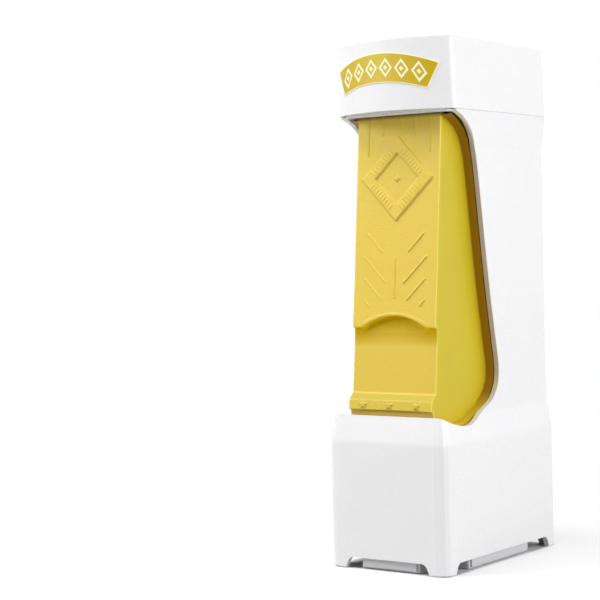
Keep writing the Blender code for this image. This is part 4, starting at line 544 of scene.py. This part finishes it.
def labelMaterial(finish):
    # The attribute edge is the distance in mm from the band's outline. A line lozenge is where |u|/a + |v|/b
    # is near 1, with u counted from the middle of its cell
    material, tree = newMaterial("goldPrintedFilm")
    laid = addNode(tree, "ShaderNodeUVMap", uv_map="mm")
    flat = addNode(tree, "ShaderNodeSeparateXYZ", {0: laid.outputs[0]})
    edge = addNode(tree, "ShaderNodeAttribute", attribute_name="edge").outputs["Fac"]
    border = addNode(tree, "ShaderNodeMath", {0: edge, 1: finish["border"]}, operation="LESS_THAN").outputs[0]
    reach = finish["pitch"] * finish["count"] / 2.0
    a, b = finish["lozengeHalf"]
    square = a * b / math.hypot(a, b)
    shifted = addNode(tree, "ShaderNodeMath", {0: flat.outputs[0], 1: reach}, operation="ADD")
    inCell = addNode(tree, "ShaderNodeMath", {0: shifted.outputs[0], 1: finish["pitch"]}, operation="MODULO")
    fromMiddle = addNode(tree, "ShaderNodeMath", {0: inCell.outputs[0], 1: finish["pitch"] / 2.0},
                         operation="SUBTRACT")
    cellX = addNode(tree, "ShaderNodeMath", {0: fromMiddle.outputs[0]}, operation="ABSOLUTE").outputs[0]
    cellZ = addNode(tree, "ShaderNodeMath", {0: flat.outputs[1]}, operation="ABSOLUTE").outputs[0]
    tallShare = addNode(tree, "ShaderNodeMath", {0: cellZ, 1: b}, operation="DIVIDE").outputs[0]
    ring = addNode(tree, "ShaderNodeMath", {0: cellX, 1: 1.0 / a, 2: tallShare}, operation="MULTIPLY_ADD")
    line = addNode(tree, "ShaderNodeMath", {0: ring.outputs[0], 1: 1.0, 2: finish["line"] / (2.0 * square)},
                   operation="COMPARE").outputs[0]
    smallSum = addNode(tree, "ShaderNodeMath", {0: cellX, 1: cellZ}, operation="ADD").outputs[0]
    small = addNode(tree, "ShaderNodeMath", {0: smallSum, 1: finish["smallHalf"]}, operation="LESS_THAN")
    motif = addNode(tree, "ShaderNodeMath", {0: line, 1: small.outputs[0]}, operation="MAXIMUM").outputs[0]
    fromCentre = addNode(tree, "ShaderNodeMath", {0: flat.outputs[0]}, operation="ABSOLUTE").outputs[0]
    inRow = addNode(tree, "ShaderNodeMath", {0: fromCentre, 1: reach}, operation="LESS_THAN").outputs[0]
    shown = addNode(tree, "ShaderNodeMath", {0: motif, 1: inRow}, operation="MULTIPLY").outputs[0]
    mask = addNode(tree, "ShaderNodeMath", {0: border, 1: shown}, operation="MAXIMUM").outputs[0]
    # Painted reflection: the gold is paler in the middle of the band and deeper towards both ends
    paintedReflectionFade = addNode(tree, "ShaderNodeMapRange", {"Value": fromCentre, "From Max": label["innerHalf"]})
    gold = addNode(tree, "ShaderNodeMix", {"Factor": paintedReflectionFade.outputs[0], "A": linear(finish["middle"]),
                                           "B": linear(finish["ends"])}, data_type="RGBA")
    colour = addNode(tree, "ShaderNodeMix", {"Factor": mask, "A": gold.outputs["Result"],
                                             "B": linear(finish["cream"])}, data_type="RGBA")
    place = addNode(tree, "ShaderNodeTexCoord").outputs["Object"]
    ink = addNode(tree, "ShaderNodeTexNoise", {"Vector": place, "Scale": 1.0 / (finish["inkGrain"] * mm),
                                               "Detail": 2.0})
    bump = addNode(tree, "ShaderNodeBump", {"Strength": 1.0, "Distance": finish["inkDepth"] * mm,
                                            "Height": ink.outputs["Fac"]})
    shader = addNode(tree, "ShaderNodeBsdfPrincipled",
                     {"Base Color": colour.outputs["Result"], "Roughness": finish["roughness"],
                      "IOR": finish["ior"], "Specular IOR Level": finish["gloss"],
                      "Normal": bump.outputs["Normal"]})
    addNode(tree, "ShaderNodeOutputMaterial", {"Surface": shader.outputs["BSDF"]})
    return material


labelPoints, labelUv, labelEdge = labelSheet()
capLabelFace = gridPiece("capLabelFace", labelPoints, labelMaterial(labelPrint), uv=labelUv)
pointAttribute(capLabelFace, "edge", labelEdge)
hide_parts("cap_label")
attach(capLabelFace, "top_cap")
print("label:", len(capLabelFace.data.polygons), "faces")

# The narrow step that closes most of the seam between cap and tower

seamStep = {  # moulded in one with the cap; it stands just behind the outer faces, at the sides and the back
    "half": 31.65, "front": -34.8, "back": 50.25, "corner": 3.6, "depth": 0.8, "low": 210.94, "high": 211.16,
    "cornerSteps": 8,
}


def seamStepBar(step):
    # A flat bar's section is carried back along one side, round two quarter circles and forward along the
    # other side. It runs down the outer face and up the inner one, and both ends are drawn in to a point.
    inner = np.array((0.0, 0.0, step["depth"], step["depth"], 0.0))[:, None]
    high = np.array((1.0, 0.0, 0.0, 1.0, 1.0))[:, None]
    turn = np.linspace(0.0, math.pi / 2.0, step["cornerSteps"] + 1)[None, :]
    side = step["half"] - inner - (step["corner"] - inner) * (1.0 - np.cos(turn))
    rear = step["back"] - inner - (step["corner"] - inner) * (1.0 - np.sin(turn))
    start, front = step["half"] - inner, step["front"] + 0.0 * inner
    x = np.concatenate([start, side, -side[:, ::-1], -start], axis=1)
    y = np.concatenate([front, rear, rear[:, ::-1], front], axis=1)
    z = step["low"] + (step["high"] - step["low"]) * high + 0.0 * x
    bar = np.stack([x, y, z], axis=-1)
    middle = np.broadcast_to(bar[:-1].mean(axis=0), bar.shape)
    return np.concatenate([middle[:, :1], bar, middle[:, -1:]], axis=1)


capSeamStep = gridPiece("capSeamStep", seamStepBar(seamStep), slotMaterials["housing_white"])
closeSeams(capSeamStep)
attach(capSeamStep, "top_cap")
print("seam step:", len(capSeamStep.data.polygons), "faces")

# The two return springs

returnSpring = {  # cold-wound wire with a closed turn at both ends; it stays seated on the chamber
    "left": -12.03, "right": 12.07, "rise": 190.0, "front": -31.65, "back": 5.6, "radius": 4.15, "wire": 0.86,
    "turns": 10, "turnSteps": 28, "wireSteps": 12, "seat": 6.1, "keep": 0.78,
}


def springSheet(spring, side):
    # A tube round a helix: the section's angle starts on the coil's inside, and both tips end in a point
    turn = np.linspace(0.0, spring["turns"], spring["turns"] * spring["turnSteps"] + 1)
    along = np.interp(turn, (0.0, 1.0, spring["turns"] - 1.0, spring["turns"]),
                      (spring["front"], spring["front"] + spring["wire"], spring["back"] - spring["wire"],
                       spring["back"]))
    turn, along = np.pad(turn, 1, mode="edge"), np.pad(along, 1, mode="edge")
    thick = np.full(len(turn), spring["wire"] / 2.0)
    thick[[0, -1]] = 0.0
    section = np.linspace(math.pi, -math.pi, spring["wireSteps"] + 1)[None, :]
    angle, along, thick = (values[:, None] for values in (turn * math.tau, along, thick))
    reach = spring["radius"] + thick * np.cos(section)
    return np.stack([spring[side] + reach * np.cos(angle), along + thick * np.sin(section),
                     spring["rise"] + reach * np.sin(angle)], axis=-1)


for side, node in (("left", "return_spring_left"), ("right", "return_spring_right")):
    wound = gridPiece("returnSpring" + side.capitalize(), springSheet(returnSpring, side),
                      slotMaterials["spring_steel"])
    closeSeams(wound)
    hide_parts(node)
    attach(wound, "frame")
    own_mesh(wound)
print("return springs:", len(wound.data.polygons), "faces each")

# Floor, sky, lamps and camera

floorLook = {  # matt board; half, near and far in metres, footHalf in mm, nearWhite and footEdge are shares
    "half": 6.0, "seen": "#F4F4F4", "bounce": "#BDBDBD", "near": 0.04, "far": 0.14, "nearWhite": 0.6,
    "footHalf": (32.5, 52.0), "footEdge": (0.96, 1.0),
}
sky = {"ambient": "#FFFFFF", "strength": 0.2}
lamps = {  # place in metres, width and height of the panel, power in watts; all aim at the object's middle
    "keyLeft": {"at": (-0.85, -0.85, 0.85), "size": (0.45, 0.45), "power": 9.0},
    "highLeft": {"at": (-0.5, -0.5, 1.25), "size": (0.6, 0.6), "power": 3.2},
    "highFront": {"at": (-0.1, -0.45, 1.3), "size": (0.8, 0.6), "power": 8.0},
    "rightFront": {"at": (1.0, -0.5, 0.5), "size": (0.3, 0.5), "power": 2.0},
    "rightSide": {"at": (1.2, 0.1, 0.4), "size": (0.8, 0.8), "power": 7.1},
    "rightRear": {"at": (0.95, 0.75, 0.4), "size": (0.7, 0.7), "power": 2.0},
    "rear": {"at": (-0.5, 1.2, 0.7), "size": (0.8, 0.8), "power": 6.0},
}
lampAim = Vector((0.0, 0.0, 0.12))


def seenShare(tree):
    # 1 for rays from the camera, from a reflection or through clear plastic, 0 for all other light
    path = addNode(tree, "ShaderNodeLightPath")
    share = path.outputs["Is Camera Ray"]
    for kind in ("Is Glossy Ray", "Is Transmission Ray"):
        share = addNode(tree, "ShaderNodeMath", {0: share, 1: path.outputs[kind]},
                        operation="MAXIMUM").outputs[0]
    return share


def floorMaterial(finish):
    # Seen by the camera or in a reflection, the floor keeps the full shadow under the object and a fainter
    # one close to it, and turns to plain white further out, so that no horizon shows; the light that it
    # throws back is that of a pale grey board. A point is under the object where the larger of |x|/a and
    # |y|/b is below 1.
    material, tree = newMaterial("paleMattBoard")
    place = addNode(tree, "ShaderNodeTexCoord").outputs["Object"]
    away = addNode(tree, "ShaderNodeVectorMath", {0: place}, operation="LENGTH").outputs["Value"]
    white = addNode(tree, "ShaderNodeMapRange", {"Value": away, "From Min": finish["near"],
                                                 "From Max": finish["far"], "To Min": finish["nearWhite"]},
                    interpolation_type="SMOOTHSTEP")
    across, along, _ = addNode(tree, "ShaderNodeSeparateXYZ", {0: place}).outputs
    reaches = []
    for value, reach in zip((across, along), finish["footHalf"]):
        size = addNode(tree, "ShaderNodeMath", {0: value}, operation="ABSOLUTE")
        reaches.append(addNode(tree, "ShaderNodeMath", {0: size.outputs[0], 1: reach * mm},
                               operation="DIVIDE").outputs[0])
    larger = addNode(tree, "ShaderNodeMath", {0: reaches[0], 1: reaches[1]}, operation="MAXIMUM")
    low, high = finish["footEdge"]
    outside = addNode(tree, "ShaderNodeMapRange", {"Value": larger.outputs[0], "From Min": low,
                                                   "From Max": high})
    seen = seenShare(tree)
    colour = addNode(tree, "ShaderNodeMix", {"Factor": seen, "A": linear(finish["bounce"]),
                                             "B": linear(finish["seen"])}, data_type="RGBA")
    plain = addNode(tree, "ShaderNodeMath", {0: seen, 1: white.outputs["Result"]}, operation="MULTIPLY")
    share = addNode(tree, "ShaderNodeMath", {0: plain.outputs[0], 1: outside.outputs["Result"]},
                    operation="MULTIPLY")
    board = addNode(tree, "ShaderNodeBsdfDiffuse", {"Color": colour.outputs["Result"]})
    glow = addNode(tree, "ShaderNodeEmission", {"Color": (1.0, 1.0, 1.0, 1.0), "Strength": 1.0})
    mix = addNode(tree, "ShaderNodeMixShader", {0: share.outputs[0], 1: board.outputs[0], 2: glow.outputs[0]})
    addNode(tree, "ShaderNodeOutputMaterial", {"Surface": mix.outputs["Shader"]})
    return material


half = floorLook["half"] / mm
corners = np.array([[[-half, half, 0.0], [half, half, 0.0]], [[-half, -half, 0.0], [half, -half, 0.0]]])
floor = gridPiece("floor", corners, floorMaterial(floorLook))

studio = bpy.data.worlds.new("studio")
bpy.context.scene.world = studio
studio.use_nodes = True
skyTree = studio.node_tree
skyTree.nodes.clear()
ambient = addNode(skyTree, "ShaderNodeBackground", {"Color": linear(sky["ambient"]),
                                                    "Strength": sky["strength"]})
white = addNode(skyTree, "ShaderNodeBackground", {"Color": (1.0, 1.0, 1.0, 1.0), "Strength": 1.0})
mix = addNode(skyTree, "ShaderNodeMixShader", {0: seenShare(skyTree), 1: ambient.outputs[0],
                                               2: white.outputs[0]})
addNode(skyTree, "ShaderNodeOutputWorld", {"Surface": mix.outputs["Shader"]})

for name, lamp in lamps.items():
    data = bpy.data.lights.new(name, "AREA")
    data.shape = "RECTANGLE"
    data.size, data.size_y = lamp["size"]
    data.energy = lamp["power"]
    light = bpy.data.objects.new(name, data)
    light.location = lamp["at"]
    light.rotation_euler = (lampAim - light.location).to_track_quat("-Z", "Y").to_euler()
    bpy.context.scene.collection.objects.link(light)

cameraPlace = {  # fitted to the object's edges in the photograph; angles in degrees, lens in mm
    "azimuth": 31.964, "distance": 0.8285, "height": 0.14845, "yaw": 4.699, "pitch": -1.647,
    "roll": -1.423, "lens": 103.1,
}


def placeCamera(place):
    # The camera stands at an azimuth and distance from the object's axis, then turns by yaw, pitch and roll
    azimuth, yaw, pitch, roll = (math.radians(place[k]) for k in ("azimuth", "yaw", "pitch", "roll"))
    away = Vector((math.sin(azimuth), -math.cos(azimuth), 0.0))
    position = away * place["distance"] + Vector((0.0, 0.0, place["height"]))
    level = Matrix.Rotation(yaw, 3, "Z") @ -away
    forward = Vector((level.x * math.cos(pitch), level.y * math.cos(pitch), math.sin(pitch)))
    right = forward.cross(Vector((0.0, 0.0, 1.0))).normalized()
    up = right.cross(forward)
    rightRolled = right * math.cos(roll) + up * math.sin(roll)
    upRolled = up * math.cos(roll) - right * math.sin(roll)
    data = bpy.data.cameras.new("camera")
    data.lens = place["lens"]
    camera = bpy.data.objects.new("camera", data)
    turn = Matrix((rightRolled, upRolled, -forward)).transposed()
    camera.matrix_world = Matrix.Translation(position) @ turn.to_4x4()
    bpy.context.scene.collection.objects.link(camera)
    bpy.context.scene.camera = camera


placeCamera(cameraPlace)
bpy.context.scene.view_settings.view_transform = "Standard"
print("floor, sky, lamps and camera set")
